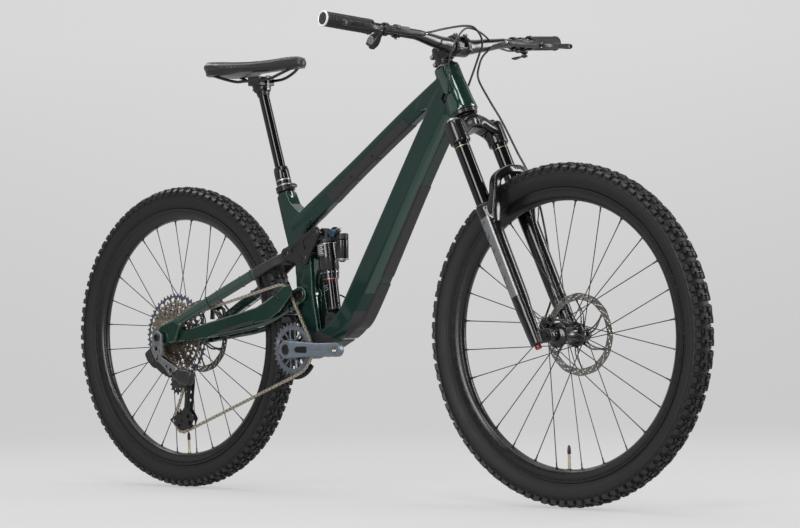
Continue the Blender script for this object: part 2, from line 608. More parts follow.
def hub(side, c, half, fl_l, fl_r, disc_y, drive):
    b = B()
    prof = [(0.0088, -half[0]), (0.0120, -half[0]), (0.0130, -half[0] + 0.0010), (0.0130, fl_r - 0.0062),
            (0.0170, fl_r - 0.0048), (0.0200, fl_r - 0.0026), (0.0262, fl_r - 0.0020), (0.0272, fl_r - 0.0010),
            (0.0272, fl_r + 0.0012), (0.0262, fl_r + 0.0021), (0.0212, fl_r + 0.0030), (0.0180, fl_r + 0.0070),
            (0.0163, fl_r + 0.0120), (0.0163, fl_l - 0.0120), (0.0180, fl_l - 0.0070), (0.0212, fl_l - 0.0030),
            (0.0262, fl_l - 0.0021), (0.0272, fl_l - 0.0012), (0.0272, fl_l + 0.0010), (0.0262, fl_l + 0.0020),
            (0.0200, fl_l + 0.0026), (0.0172, fl_l + 0.0050), (0.0160, disc_y - 0.0030), (0.0130, disc_y - 0.0028),
            (0.0130, half[1] - 0.0010), (0.0120, half[1]), (0.0088, half[1])]
    b.turn(prof, c, Y, 64)
    for i in range(10):
        t = 2 * math.pi * i / 10
        e = Vector((math.cos(t), 0, math.sin(t)))
        for s, fy in ((1, fl_l), (-1, fl_r)):
            b.cyl(c + e * 0.0150 + Y * (fy - s * 0.0090), c + e * 0.0225 + Y * (fy - s * 0.0016), 0.0016, 10)
    piece(side + "_hub_shell", b, GLOSS if side == "front" else ALLOY, side + "_wheel", [side + "_hub_spokes"])
    sp, nip = B(), B()
    for i in range(28):
        fl = fl_l if i % 2 else fl_r
        sgn = 1 if (i // 2) % 2 else -1
        t_rim = 2 * math.pi * (i + 0.5) / 28
        t_hub = t_rim + sgn * math.radians(62)
        eh = Vector((math.cos(t_hub), 0, math.sin(t_hub)))
        er = Vector((math.cos(t_rim), 0, math.sin(t_rim)))
        y_r = 0.0028 if i % 2 else -0.0028
        face = 1 if sgn > 0 else -1
        a = c + eh * 0.0242 + Y * (fl + face * 0.0030)
        q = c + er * 0.2885 + Y * y_r
        d = (q - a).normalized()
        # bladed body between round ends, a J bend through the flange and a head behind it
        L = (q - a).length
        stations = [(0.0, 0.00120, 0.00120), (0.012, 0.00120, 0.00120), (0.030, 0.00108, 0.00108),
                    (L - 0.040, 0.00108, 0.00108), (L - 0.022, 0.00120, 0.00120), (L, 0.00120, 0.00120)]
        sp.tube([a + d * s for s, _, _ in stations], [(u, w) for _, u, w in stations], 8, Y)
        sp.cyl(a + d * 0.0006, a - Y * (face * 0.0060), 0.0011, 8)
        sp.cyl(a - Y * (face * 0.0052), a - Y * (face * 0.0064), 0.0019, 10)
        # nipples
        nip.tube([q - d * 0.0125, q - d * 0.0110, q - d * 0.0040, q - d * 0.0032, q + d * 0.0035],
                 [0.0014, 0.0017, 0.0017, 0.0021, 0.0021], 8, Y)
        nip.cyl(q - d * 0.0010, q + d * 0.0012, 0.0036, 12, 0.0030)
    piece(side + "_spokes", sp, SPOKE, side + "_wheel")
    piece(side + "_nipples", nip, ALLOY, side + "_wheel")


def disc(side, c, y, sgn=1):
    """A slotted track on six swept double arms, on a black lock ring carrier."""
    y0, y1 = y - 0.0009, y + 0.0009
    b = B()
    # wavy outer edge
    out = []
    for i in range(288):
        t = 2 * math.pi * i / 288
        w = 0.5 + 0.5 * math.cos(12 * t)
        out.append(((0.0890 + 0.0010 * w) * math.cos(t), (0.0890 + 0.0010 * w) * math.sin(t)))
    bm = bmesh.new()
    loops = [out]
    inner = []
    for i in range(144):
        t = 2 * math.pi * i / 144
        w = 0.5 + 0.5 * math.cos(12 * t + math.pi)
        rr = 0.0748 - 0.0012 * w
        inner.append((rr * math.cos(t), rr * math.sin(t)))
    loops.append(inner)
    # vent slots in the track: three to a group, tilted
    for i in range(12):
        for j, (rr, ln) in enumerate(((0.0855, 0.0030), (0.0820, 0.0042), (0.0783, 0.0030))):
            t = 2 * math.pi * (i + 0.17 * j) / 12
            for dt in (0.0, 0.26):
                tt = t + dt
                cx, cz = rr * math.cos(tt), rr * math.sin(tt)
                ax = Vector((-math.sin(tt + 0.25), math.cos(tt + 0.25)))
                nx = Vector((ax.y, -ax.x))
                loops.append([(cx + ax.x * ln * math.cos(u) + nx.x * 0.0011 * math.sin(u),
                               cz + ax.y * ln * math.cos(u) + nx.y * 0.0011 * math.sin(u))
                              for u in [2 * math.pi * q / 12 for q in range(12)]])
    edges = []
    for lp in loops:
        vs = [bm.verts.new((x, y0, z)) for x, z in lp]
        edges += [bm.edges.new((vs[i], vs[(i + 1) % len(vs)])) for i in range(len(vs))]
    bmesh.ops.triangle_fill(bm, edges=edges, use_beauty=True, use_dissolve=False)
    geo = bmesh.ops.extrude_face_region(bm, geom=list(bm.faces))
    for v in [g for g in geo["geom"] if isinstance(g, bmesh.types.BMVert)]:
        v.co.y = y1
    bmesh.ops.recalc_face_normals(bm, faces=bm.faces)
    b.merge(bm)
    for k in range(6):
        t = 2 * math.pi * k / 6
        for da, db, w in ((0.0, 0.62, 0.0021), (0.30, 0.28, 0.0018)):
            a = Vector((0.0235 * math.cos(t + da), 0, 0.0235 * math.sin(t + da)))
            m1 = Vector((0.045 * math.cos(t + da + db * 0.45), 0, 0.045 * math.sin(t + da + db * 0.45)))
            q = Vector((0.0752 * math.cos(t + da + db), 0, 0.0752 * math.sin(t + da + db)))
            m2 = Vector((0.064 * math.cos(t + da + db * 0.86), 0, 0.064 * math.sin(t + da + db * 0.86)))
            b.tube([v + Y * y for v in (a, m1, m2, q)], [(0.00082, w * 1.2), (0.00082, w), (0.00082, w), (0.00082, w * 1.3)],
                   12, Y, 6.0, smooth=4)
    b.move(Matrix.Translation((c.x, 0, c.z)))
    piece(side + "_disc", b, ROTOR, side + "_wheel", [side + "_rotor"], angle=35)
    h = B()
    rim_pts = []
    for i in range(72):
        t = 2 * math.pi * i / 72
        w = 0.5 + 0.5 * math.cos(6 * t)
        rr = 0.0205 + 0.0055 * w ** 1.5
        rim_pts.append((c.x + rr * math.cos(t), c.z + rr * math.sin(t)))
    h.plate(rim_pts, y - 0.0017, y + 0.0017, [(c.x, c.z, 0.0128)])
    h.turn([(0.0132, y + 0.0016), (0.0132, y + 0.0052), (0.0168, y + 0.0052), (0.0182, y + 0.0042), (0.0182, y + 0.0016)],
           c, Y, 40)
    for i in range(24):
        t = 2 * math.pi * i / 24
        e = Vector((math.cos(t), 0, math.sin(t)))
        h.block(c + e * 0.0134 + Y * (y + 0.0034), 0.0008, 0.0017, 0.0007, e, Y)
    piece(side + "_disc_carrier", h, ALLOY, side + "_wheel", bevel=0.0003)


for side, c, half, fl, fr, dy, va in (("front", FRONT, (0.0545, 0.0545), 0.0300, -0.0330, 0.0445, -math.pi / 2),
                                      ("rear", REAR, (0.0260, 0.0730), 0.0380, -0.0210, 0.0578, -math.pi / 2 + 0.03)):
    tyre(side, c)
    rim(side, c, va)
    hub(side, c, half, fl, fr, dy, side == "rear")
    disc(side, c, dy)


# ---------------------------------------------------------------- drive
def toothed(teeth, tip=0.0026, seat_r=0.0040, phase=0.0, c=(0, 0), narrow=0.0):
    rp, out = pitch_r(teeth), []
    for i in range(teeth):
        t0 = 2 * math.pi * i / teeth + phase
        tw = tip - (narrow if i % 2 else 0.0)
        for a in (-58, -24, 24, 58):
            q = math.radians(a)
            rr = rp - seat_r * math.cos(q)
            s = seat_r * math.sin(q)
            t = t0 + s / rp
            out.append((c[0] + rr * math.cos(t), c[1] + rr * math.sin(t)))
        for u in (0.40, 0.455, 0.545, 0.60):
            t = t0 + 2 * math.pi / teeth * u
            rr = rp + (tw if u in (0.455, 0.545) else tw - 0.0012)
            out.append((c[0] + rr * math.cos(t), c[1] + rr * math.sin(t)))
    return out


def belt(circles):
    out, n, tan = [], len(circles), []
    for i in range(n):
        (c1, r1, s1), (c2, r2, s2) = circles[i], circles[(i + 1) % n]
        dx, dz = c2.x - c1.x, c2.z - c1.z
        h = math.atan2(dz, dx) - math.asin((s1 * r1 - s2 * r2) / math.hypot(dx, dz))
        hx, hz = math.cos(h), math.sin(h)
        tan.append((Vector((c1.x - s1 * r1 * hz, 0, c1.z + s1 * r1 * hx)),
                    Vector((c2.x - s2 * r2 * hz, 0, c2.z + s2 * r2 * hx))))
    for i in range(n):
        c, r, s = circles[i]
        a, b = tan[i - 1][1], tan[i][0]
        t0, t1 = math.atan2(a.z - c.z, a.x - c.x), math.atan2(b.z - c.z, b.x - c.x)
        while s > 0 and t1 > t0:
            t1 -= 2 * math.pi
        while s < 0 and t1 < t0:
            t1 += 2 * math.pi
        out.append((c, r, s, t0, t1, a, b))
    return out


ARCS = belt([(Vector((REAR.x, 0, REAR.z)), pitch_r(18), 1), (IDLER, pitch_r(16), 1),
             (Vector((BB.x, 0, BB.z)), pitch_r(30), 1), (LOWP, pitch_r(14), 1), (UPP, pitch_r(12), -1)])
# the chain as one dense line, with the name of the part each stretch belongs to
line = []
for i, (c, r, s, t0, t1, a, b) in enumerate(ARCS):
    m = max(8, int(abs(t1 - t0) / 0.02))
    line += [(c + Vector((math.cos(t0 + (t1 - t0) * k / m), 0, math.sin(t0 + (t1 - t0) * k / m))) * r, "arc%d" % i)
             for k in range(m + 1)]
    nb = ARCS[(i + 1) % 5][5]
    m = max(2, int((nb - b).length / 0.003))
    line += [(b.lerp(nb, k / m), "run%d" % i) for k in range(1, m)]
dist, acc = [0.0], 0.0
for i in range(len(line)):
    acc += (line[(i + 1) % len(line)][0] - line[i][0]).length
    dist.append(acc)
LINKS = 2 * round(acc / PITCH / 2)
pins = []
j = 0
for k in range(LINKS):
    d = acc * k / LINKS
    while dist[j + 1] < d:
        j += 1
    t = (d - dist[j]) / max(1e-9, dist[j + 1] - dist[j])
    pins.append((line[j][0].lerp(line[(j + 1) % len(line)][0], t) + Y * CY, line[j][1]))


def tooth_phase(i, teeth):
    """Turns a sprocket so that its gaps sit on the chain's pins in the middle of the wrap."""
    on = [p for p, nm in pins if nm == "arc%d" % i]
    p = on[len(on) // 2] - ARCS[i][0]
    return math.atan2(p.z, p.x)


def link_shape(a, b, r, waist):
    d = (b - a)
    L = d.length
    d = d / L
    nx = Vector((-d.z, 0, d.x))
    out = []
    for q in range(7):
        t = math.radians(-60 + 20 * q)
        out.append(b + d * (r * math.cos(t)) + nx * (r * math.sin(t)))
    out.append(a.lerp(b, 0.5) + nx * waist)
    for q in range(7):
        t = math.radians(120 + 20 * q)
        out.append(a + d * (r * math.cos(t)) + nx * (r * math.sin(t)))
    out.append(a.lerp(b, 0.5) - nx * waist)
    return [(p.x, p.z) for p in out]


def chain_piece(name, idx, ride_on=None, bl=None, dark=False):
    pl, ro = B(), B()
    for k in idx:
        a, b = pins[k % LINKS][0], pins[(k + 1) % LINKS][0]
        outer = k % 2 == 0
        y0 = 0.0018 if outer else 0.0011
        shape = link_shape(a, b, 0.0040 if outer else 0.0042, 0.0027 if outer else 0.0029)
        for s in (-1, 1):
            ya, yb = sorted((CY + s * y0, CY + s * (y0 + 0.0007)))
            ring0 = [Vector((x, ya, z)) for x, z in shape]
            ring1 = [Vector((x, yb, z)) for x, z in shape]
            pl.loft([ring0, ring1])
        for p in (a,):
            ro.ycyl(p, 0.0037, CY - 0.00108, CY + 0.00108, 14)
            ro.ycyl(p, 0.0017, CY - 0.0028, CY + 0.0028, 10)
    for b, m, nm in ((pl, CHAIN, name), (ro, CHAIN_D, name + "_rollers")):
        ob = piece(nm, b, m, ride_on, ["chain"], angle=40)
        if bl:
            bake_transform(ob)


def stretch(*names):
    return [k for k in range(LINKS) if pins[k][1] in names]


run3 = stretch("run2")                       # ring to lower pulley
half = len(run3) // 2
chain_piece("chain_ring_wrap", stretch("arc2"), "frame")
chain_piece("chain_ring_to_idler", stretch("run1"), None, ("frame", "swingarm", ARCS[2][5], ARCS[1][6]))
chain_piece("chain_idler_wrap", stretch("arc1"), "swingarm")
chain_piece("chain_top_run", stretch("run0"), None, ("swingarm", "rear_stays", ARCS[1][5], ARCS[0][6]))
chain_piece("chain_cassette_wrap", stretch("arc0"), "rear_stays")
chain_piece("chain_lower_front", run3[:half], None, ("frame", "swingarm", pins[run3[0]][0], pins[run3[half]][0]))
chain_piece("chain_lower_back", run3[half:], None, ("swingarm", "rear_stays", pins[run3[half]][0], pins[run3[-1]][0]))
chain_piece("chain_cage_runs", stretch("arc3", "run3", "arc4", "run4"), "mech_cage")

# cassette: twelve toothed cogs, the big ones cut out between their carriers
TEETH = (10, 12, 14, 16, 18, 21, 24, 28, 32, 38, 44, 52)
groups = {"small": [], "mid": [], "big": []}
cb = {k: B() for k in groups}
for k, t in enumerate(TEETH):
    y = CY + 0.0037 * (k - 4)
    ph = tooth_phase(0, 18) if k == 4 else 0.11 * k
    rp = pitch_r(t)
    inner = 0.0136 if k < 5 else pitch_r(TEETH[k - 1]) - 0.0120
    b = cb["small" if k < 3 else "big" if k == 11 else "mid"]
    holes = [(0.0, 0.0, inner)]
    if k >= 5:
        m = {5: 10, 6: 12, 7: 14, 8: 16, 9: 18, 10: 22, 11: 26}[k]
        rr = (inner + rp - 0.0052) / 2
        hr = min((rp - 0.0052 - inner) / 2 - 0.0012, math.pi * rr / m - 0.0011)
        if hr > 0.0012:
            holes += [(rr * math.cos(2 * math.pi * q / m + ph), rr * math.sin(2 * math.pi * q / m + ph), hr)
                      for q in range(m)]
    bb = B()
    bb.plate(toothed(t, 0.0024, 0.0040, ph), y - 0.0008, y + 0.0008, holes)
    if k < 5:
        bb.turn([(0.0135, y - 0.0018), (rp - 0.0075, y - 0.0018), (rp - 0.0075, y + 0.0018), (0.0135, y + 0.0018)],
                (0, 0, 0), Y, 40)
    # carrier posts to the next cog
    if k < 11:
        m = 8 + k
        rr = rp - 0.0066
        for q in range(m):
            tq = 2 * math.pi * q / m + 0.07 * k
            e = Vector((math.cos(tq), 0, math.sin(tq)))
            bb.block(e * rr + Y * (y + 0.00185), 0.0016, 0.0019, 0.0022, e, Vector((-e.z, 0, e.x)))
    bb.move(Matrix.Translation((REAR.x, 0, REAR.z)))
    b.merge(bb.bm)
for k, m in (("small", COG_S), ("mid", COG), ("big", COG_D)):
    piece("cassette_" + k, cb[k], m, "cassette_group", ["cassette"], bevel=0.0)
b = B()
b.turn([(0.0136, CY - 0.0162), (0.0185, CY - 0.0162), (0.0190, CY - 0.0150), (0.0190, CY + 0.0100),
        (0.0210, CY + 0.0240), (0.0136, CY + 0.0240)], REAR, Y, 48)
for q in range(8):
    t = 2 * math.pi * q / 8
    e = Vector((math.cos(t), 0, math.sin(t)))
    b.tube([REAR + e * 0.019 + Y * (CY + 0.0040), REAR + e * 0.050 + Y * (CY + 0.0150),
            REAR + e * 0.086 + Y * (CY + 0.0248)], [(0.0020, 0.0012), (0.0022, 0.0012), (0.0022, 0.0012)], 8, Y, 4.0)
piece("cassette_carrier", b, COG_D, "cassette_group", bevel=0.0002)
# freehub body behind the cassette
b = B()
b.turn([(0.0100, -0.0300), (0.0172, -0.0300), (0.0172, -0.0262), (0.0100, -0.0262)], REAR, Y, 40)
piece("freehub_seal", b, ALLOY, "rear_wheel")

# chainring
b = B()
ph = tooth_phase(2, 30)
rc = pitch_r(30)
c2 = (BB.x, BB.z)
holes = [(c2[0], c2[1], 0.0462)]
b.plate(toothed(30, 0.0030, 0.0040, ph, c2, 0.0006), CY - 0.0010, CY + 0.0010, holes)
b.plate([(c2[0] + (rc - 0.0066) * math.cos(2 * math.pi * k / 90), c2[1] + (rc - 0.0066) * math.sin(2 * math.pi * k / 90))
         for k in range(90)], CY - 0.0020, CY + 0.0020, [(c2[0], c2[1], 0.0460)])
sp = []
for k in range(8):
    t = math.radians(22.5 + 45 * k)
    e = Vector((math.cos(t), 0, math.sin(t)))
    w = Vector((-e.z, 0, e.x))
    for s in (-1, 1):
        b.tube([BB + e * 0.0205 + w * (s * 0.0012) + Y * CY, BB + e * 0.0330 + w * (s * 0.0052) + Y * CY,
                BB + e * 0.0478 + w * (s * 0.0108) + Y * CY],
               [(0.0017, 0.0027), (0.0017, 0.0021), (0.0017, 0.0028)], 12, Y, 4.0, smooth=4)
b.turn([(0.0126, CY - 0.0030), (0.0225, CY - 0.0030), (0.0235, CY - 0.0022), (0.0235, CY + 0.0022),
        (0.0225, CY + 0.0030), (0.0126, CY + 0.0030)], BB, Y, 56)
for k in range(8):
    t = math.radians(22.5 + 45 * k)
    b.ycyl(BB + Vector((math.cos(t), 0, math.sin(t))) * 0.0175, 0.0022, CY - 0.0042, CY - 0.0028, 12)
for k in range(16):
    t = 2 * math.pi * k / 16 + 0.1
    b.ycyl(BB + Vector((math.cos(t), 0, math.sin(t))) * 0.0500, 0.0014, CY - 0.0026, CY - 0.0018, 12)
piece("chainring_toothed", b, RING, "crankset", ["chainring"], bevel=0.00025)

# crank arms: one fused forging each, with an open pedal eye
ARM = [(0.0, 0.0225, 0.0625, 0.0082), (0.025, 0.0198, 0.0632, 0.0082), (0.055, 0.0176, 0.0650, 0.0080),
       (0.085, 0.0160, 0.0668, 0.0078), (0.110, 0.0154, 0.0690, 0.0077), (0.140, 0.0156, 0.0704, 0.0078),
       (0.165, 0.0168, 0.0715, 0.0082)]


def crank_arm(sgn, name, d):
    ped = BB + X * (d * 0.165)

    def body(b):
        b.tube([Vector((BB.x + d * x, sgn * (yi + 0.0082), BB.z)) for x, _, yi, _ in ARM],
               [(hz, hy) for _, hz, _, hy in ARM], 28, Z, 3.2, smooth=3)
    bits = [one(body),
            one(lambda b: b.turn([(0.0, sgn * 0.0600), (0.0205, sgn * 0.0600), (0.0215, sgn * 0.0610), (0.0215, sgn * 0.0790),
                                  (0.0205, sgn * 0.0800), (0.0, sgn * 0.0800)][::sgn], BB, Y, 48)),
            one(lambda b: b.turn([(0.0, sgn * 0.0712), (0.0160, sgn * 0.0712), (0.0168, sgn * 0.0722), (0.0168, sgn * 0.0872),
                                  (0.0158, sgn * 0.0884), (0.0, sgn * 0.0884)][::sgn], ped, Y, 48))]
    cut = [one(lambda b: b.ycyl(ped, 0.0068, *sorted((sgn * 0.060, sgn * 0.100)), 40)),
           one(lambda b: b.ycyl(BB, 0.0128, *sorted((sgn * 0.0775, sgn * 0.0900)), 40))]
    # shallow pocket down the outer face
    cut.append(one(lambda b: b.tube([Vector((BB.x + d * 0.034, sgn * 0.0835, BB.z)), Vector((BB.x + d * 0.060, sgn * 0.0842, BB.z)),
                                     Vector((BB.x + d * 0.120, sgn * 0.0878, BB.z)), Vector((BB.x + d * 0.140, sgn * 0.0890, BB.z))],
                                    [(0.0050, 0.0028), (0.0085, 0.0040), (0.0070, 0.0040), (0.0035, 0.0022)], 24, Z, 2.4, smooth=4)))
    me = fuse(bits, 0.0011, 10, cut)
    piece(name + "_forging", me, CRANK, "crankset", [name], angle=38)
    b = B()
    b.turn([(0.0, sgn * 0.0776), (0.0120, sgn * 0.0776), (0.0126, sgn * 0.0784), (0.0126, sgn * 0.0800), (0.0118, sgn * 0.0806),
            (0.0060, sgn * 0.0806), (0.0052, sgn * 0.0790), (0.0, sgn * 0.0790)][::sgn], BB, Y, 48)
    piece(name + "_bolt", b, ALLOY, "crankset")
    b = B()
    # dark inlay in the pocket, without lettering
    b.plate([(BB.x + d * 0.0360, BB.z - 0.0068), (BB.x + d * 0.0300, BB.z), (BB.x + d * 0.0360, BB.z + 0.0068), (BB.x + d * 0.0640, BB.z + 0.0082),
             (BB.x + d * 0.0700, BB.z + 0.0075), (BB.x + d * 0.0700, BB.z - 0.0075), (BB.x + d * 0.0640, BB.z - 0.0082)][::d],
            *sorted((sgn * 0.0760, sgn * 0.0821)))
    piece(name + "_inlay", b, GLOSS, "crankset", bevel=0.0008)
    b = B()
    b.turn([(0.0066, sgn * 0.0722), (0.0078, sgn * 0.0722), (0.0078, sgn * 0.0886), (0.0066, sgn * 0.0886)][::sgn], ped, Y, 40)
    for k in range(11):
        y = sgn * (0.0730 + 0.0014 * k)
        b.turn([(0.0060, y), (0.0068, y - sgn * 0.0005), (0.0068, y + sgn * 0.0005)][::-sgn], ped, Y, 32)
    piece(name + "_insert", b, ROTOR, "crankset")


crank_arm(-1, "crank_arm_right", 1)
crank_arm(1, "crank_arm_left", -1)
b = B()
b.turn([(0.0126, 0.0510), (0.0190, 0.0510), (0.0196, 0.0520), (0.0196, 0.0585), (0.0190, 0.0595), (0.0126, 0.0595)], BB, Y, 48)
for k in range(10):
    t = 2 * math.pi * k / 10
    e = Vector((math.cos(t), 0, math.sin(t)))
    b.block(BB + e * 0.0197 + Y * 0.0552, 0.0006, 0.0034, 0.0022, e, Vector((-e.z, 0, e.x)))
piece("preload_collar", b, ALLOY, "crankset", bevel=0.0003)
for side, sg in (("right", -1), ("left", 1)):
    b = B()
    lo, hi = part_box("bb_cup_" + side)
    y0, y1 = (hi.y, lo.y) if sg < 0 else (lo.y, hi.y)
    rr = (hi.x - lo.x) / 2
    b.turn([(0.0127, y0), (rr - 0.0012, y0), (rr, y0 + sg * 0.0010), (rr, y1 - sg * 0.0012), (rr - 0.0010, y1),
            (0.0150, y1), (0.0142, y1 - sg * 0.0008), (0.0127, y1 - sg * 0.0008)][::sg], BB, Y, 60)
    for k in range(16):
        t = 2 * math.pi * k / 16
        e = Vector((math.cos(t), 0, math.sin(t)))
        b.block(BB + e * (rr - 0.0002) + Y * ((y0 + y1) / 2 + sg * 0.0006), 0.0008, abs(y1 - y0) / 2 - 0.0016, 0.0021, e,
                Vector((-e.z, 0, e.x)))
    piece("bb_cup_%s_notched" % side, b, ALLOY, "frame", ["bb_cup_" + side], bevel=0.0003)

# idler pulley
b = B()
ph = tooth_phase(1, 16)
ci = xz(IDLER)
b.plate(toothed(16, 0.0030, 0.0040, ph, ci, 0.0006), CY - 0.0010, CY + 0.0010,
        [(ci[0], ci[1], 0.0105)] + [(ci[0] + 0.0200 * math.cos(2 * math.pi * k / 8), ci[1] + 0.0200 * math.sin(2 * math.pi * k / 8), 0.0038)
                                    for k in range(8)])
b.turn([(0.0064, CY - 0.0040), (0.0130, CY - 0.0040), (0.0142, CY - 0.0028), (0.0150, CY - 0.0010), (0.0150, CY + 0.0010),
        (0.0142, CY + 0.0050), (0.0130, CY + 0.0060), (0.0064, CY + 0.0060)], IDLER, Y, 48)
piece("idler_toothed", b, PLASTIC_G, "idler", ["idler_pulley"], bevel=0.0002)
b = B()
b.turn([(0.0, -0.0585), (0.0100, -0.0585), (0.0105, -0.0592), (0.0105, -0.0606), (0.0098, -0.0614), (0.0042, -0.0614),
        (0.0036, -0.0596), (0.0, -0.0596)][::-1], IDLER, Y, 40)
piece("idler_bolt_cap", b, STEEL, "swingarm")


# ---------------------------------------------------------------- frame
def poly_rings(pts, sizes, poly, up=Y, k=6):
    pts, sizes = spline([Vector(p) for p in pts], sizes, k)
    rings = []
    for i, p in enumerate(pts):
        t = (pts[min(i + 1, len(pts) - 1)] - pts[max(i - 1, 0)]).normalized()
        u = (up - t * up.dot(t)).normalized()
        v = t.cross(u)
        rings.append([p + u * (a * sizes[i][0]) + v * (c * sizes[i][1]) for a, c in poly])
    return rings


def patch(me, planes, off, thick, test=None, drop=False):
    """Part of a skin lifted off as a thin closed shell: planes are (point, normal kept side)."""
    bm = bmesh.new()
    bm.from_mesh(me)
    for p, n in planes:
        bmesh.ops.bisect_plane(bm, geom=list(bm.verts) + list(bm.edges) + list(bm.faces), plane_co=Vector(p),
                               plane_no=Vector(n), clear_inner=True, clear_outer=False)
    if test:
        bad = [f for f in bm.faces if not test(f)]
        bmesh.ops.delete(bm, geom=bad, context="FACES")
    bm.normal_update()
    for v in bm.verts:
        v.co += v.normal * off
    out = bpy.data.meshes.new("patch")
    bm.to_mesh(out)
    bm.free()
    ob = bpy.data.objects.new("patch", out)
    bpy.context.scene.collection.objects.link(ob)
    m = ob.modifiers.new("s", "SOLIDIFY")
    m.thickness, m.offset = thick, 1.0
    r = apply_mods(ob)
    bpy.data.objects.remove(ob, do_unlink=True)
    return r


def zone(me, mats, pick):
    """Give faces of one skin their finish by place and facing."""
    me.materials.clear()
    for m in mats:
        me.materials.append(m)
    for f in me.polygons:
        f.material_index = pick(f.center, f.normal)


def recolour(ob, mats, pick):
    zone(ob.data, mats, pick)


DT_POLY = [(0.58, -1.0), (1.0, -0.80), (1.0, 0.38), (0.86, 0.76), (0.68, 1.0), (-0.68, 1.0), (-0.86, 0.76),
           (-1.0, 0.38), (-1.0, -0.80), (-0.58, -1.0)]
TT_POLY = [(0.48, -1.0), (0.92, -0.80), (1.0, -0.62), (1.0, 0.06), (0.56, 1.0), (-0.56, 1.0), (-1.0, 0.06),
           (-1.0, -0.62), (-0.92, -0.80), (-0.48, -1.0)]
TT_PTS = [(0.2900, 0, 0.9450), (0.2700, 0, 0.9330), (0.1900, 0, 0.8870), (0.0200, 0, 0.7750), (-0.1400, 0, 0.6680), (-0.2030, 0, 0.6260)]
DT_PTS = [(0.2975, 0, 0.9260), (0.2780, 0, 0.8930), (0.1791, 0, 0.7384), (0.0086, 0, 0.4600), (-0.0300, 0, 0.4110), (-0.0850, 0, 0.3720),
          (-0.1600, 0, 0.3460)]
bits = [
    one(lambda b: b.tube([steer(0.5680), steer(0.5760), steer(0.600), steer(0.650), steer(0.6740), steer(0.6810)],
                         [(0.0322, 0.0332), (0.0320, 0.0330), (0.0296, 0.0312), (0.0278, 0.0286), (0.0282, 0.0284),
                          (0.0282, 0.0284)], 40, Y, 2.3, smooth=3)),
    one(lambda b: b.loft(poly_rings(DT_PTS, [(0.0215, 0.0200), (0.0262, 0.0360), (0.0265, 0.0360), (0.0285, 0.0390), (0.0305, 0.0335),
                                             (0.0335, 0.0250), (0.0335, 0.0210)], DT_POLY))),
    one(lambda b: b.loft(poly_rings(TT_PTS, [(0.0225, 0.0200), (0.0245, 0.0225), (0.0225, 0.0200), (0.0210, 0.0195), (0.0205, 0.0235),
                                             (0.0190, 0.0240)], TT_POLY))),
    one(lambda b: b.tube([seat(0.7155), seat(0.6700), seat(0.6100), seat(0.5500), seat(0.4700), Vector((-0.1600, 0, 0.3500))],
                         [(0.0198, 0.0195), (0.0188, 0.0190), (0.0180, 0.0185), (0.0180, 0.0185), (0.0215, 0.0220),
                          (0.0300, 0.0260)], 32, Y, 2.2, smooth=4)),
    # side gusset where both tubes meet the head tube
    one(lambda b: b.plate([(0.2990, 0.9480), (0.2860, 0.9520), (0.2550, 0.9370), (0.2060, 0.9000), (0.1960, 0.8810), (0.2060, 0.8790),
                           (0.2272, 0.8845), (0.2380, 0.8790), (0.2390, 0.8690), (0.2180, 0.8340), (0.2300, 0.8160), (0.2700, 0.8600),
                           (0.3080, 0.8800), (0.3080, 0.9100)], -0.0238, 0.0238)),
    # flat-sided mast between collar, top tube and rocker
    one(lambda b: b.plate([xz(seat(0.7080, 0.0165)), xz(seat(0.7120, -0.0160)), (-0.2090, 0.6870), (-0.1740, 0.6600),
                           (-0.1420, 0.6520), (-0.1660, 0.6150), (-0.1800, 0.5700), xz(seat(0.5700, 0.0165)), xz(seat(0.6400, 0.0175))],
                          -0.0186, 0.0186)),
    one(lambda b: b.ycyl(BB, 0.0250, -0.0365, 0.0365, 40, 0.0015)),
    one(lambda b: b.ycyl(MAIN, 0.0168, -0.0305, 0.0305, 32)),
    one(lambda b: b.ycyl(ROCK, 0.0155, -0.0295, 0.0295, 32)),
    # web between rocker boss, main pivot and bottom bracket
    one(lambda b: b.plate([(-0.1980, 0.5760), (-0.1520, 0.5680), (-0.1420, 0.5450), (-0.1500, 0.5000), (-0.1540, 0.4500),
                           (-0.1350, 0.3700), (-0.1800, 0.3600), (-0.1860, 0.4000), (-0.1900, 0.4700)], -0.0205, 0.0205)),
]
for s in (-1, 1):
    y0, y1 = sorted((s * 0.0140, s * 0.0280))
    bits.append(one(lambda b: b.plate([(-0.1690, 0.5660), (-0.1370, 0.5600), (-0.1340, 0.5200), (-0.1320, 0.4700),
                                       (-0.1180, 0.4000), (-0.1150, 0.3560), (-0.1600, 0.3500), (-0.1720, 0.4200),
                                       (-0.1740, 0.4800), (-0.1620, 0.5300)], y0, y1)))
    bits.append(one(lambda b: b.plate([(-0.1100, 0.3720), (-0.0500, 0.3860), (-0.0700, 0.4130), (-0.0990, 0.4100)],
                                      *sorted((s * 0.0100, s * 0.0200)))))
cuts = [one(lambda b: b.cyl(steer(0.5400), steer(0.7100), 0.0200, 48)),
        one(lambda b: b.cyl(steer(0.5200), steer(0.5679), 0.0360, 48)),
        one(lambda b: b.cyl(seat(0.7400), seat(0.5250), 0.0162, 48)),
        one(lambda b: b.ycyl(BB, 0.0155, -0.06, 0.06, 48)),
        # cable ports each side behind the head tube
        one(lambda b: b.plate([(0.2840, 0.9150), (0.2990, 0.9090), (0.2960, 0.8960), (0.2850, 0.8890), (0.2760, 0.9020)],
                              -0.0400, -0.0190)),
        one(lambda b: b.plate([(0.2840, 0.9150), (0.2990, 0.9090), (0.2960, 0.8960), (0.2850, 0.8890), (0.2760, 0.9020)],
                              0.0190, 0.0400))]
SKIN = fuse(bits, 0.0022, 5, cuts, 0.5)
DTD = Vector((-0.5223, 0, -0.8528))          # down the down tube
DTF = Vector((0.8528, 0, -0.5223))           # its front
TTD = Vector((-0.8351, 0, -0.5502))
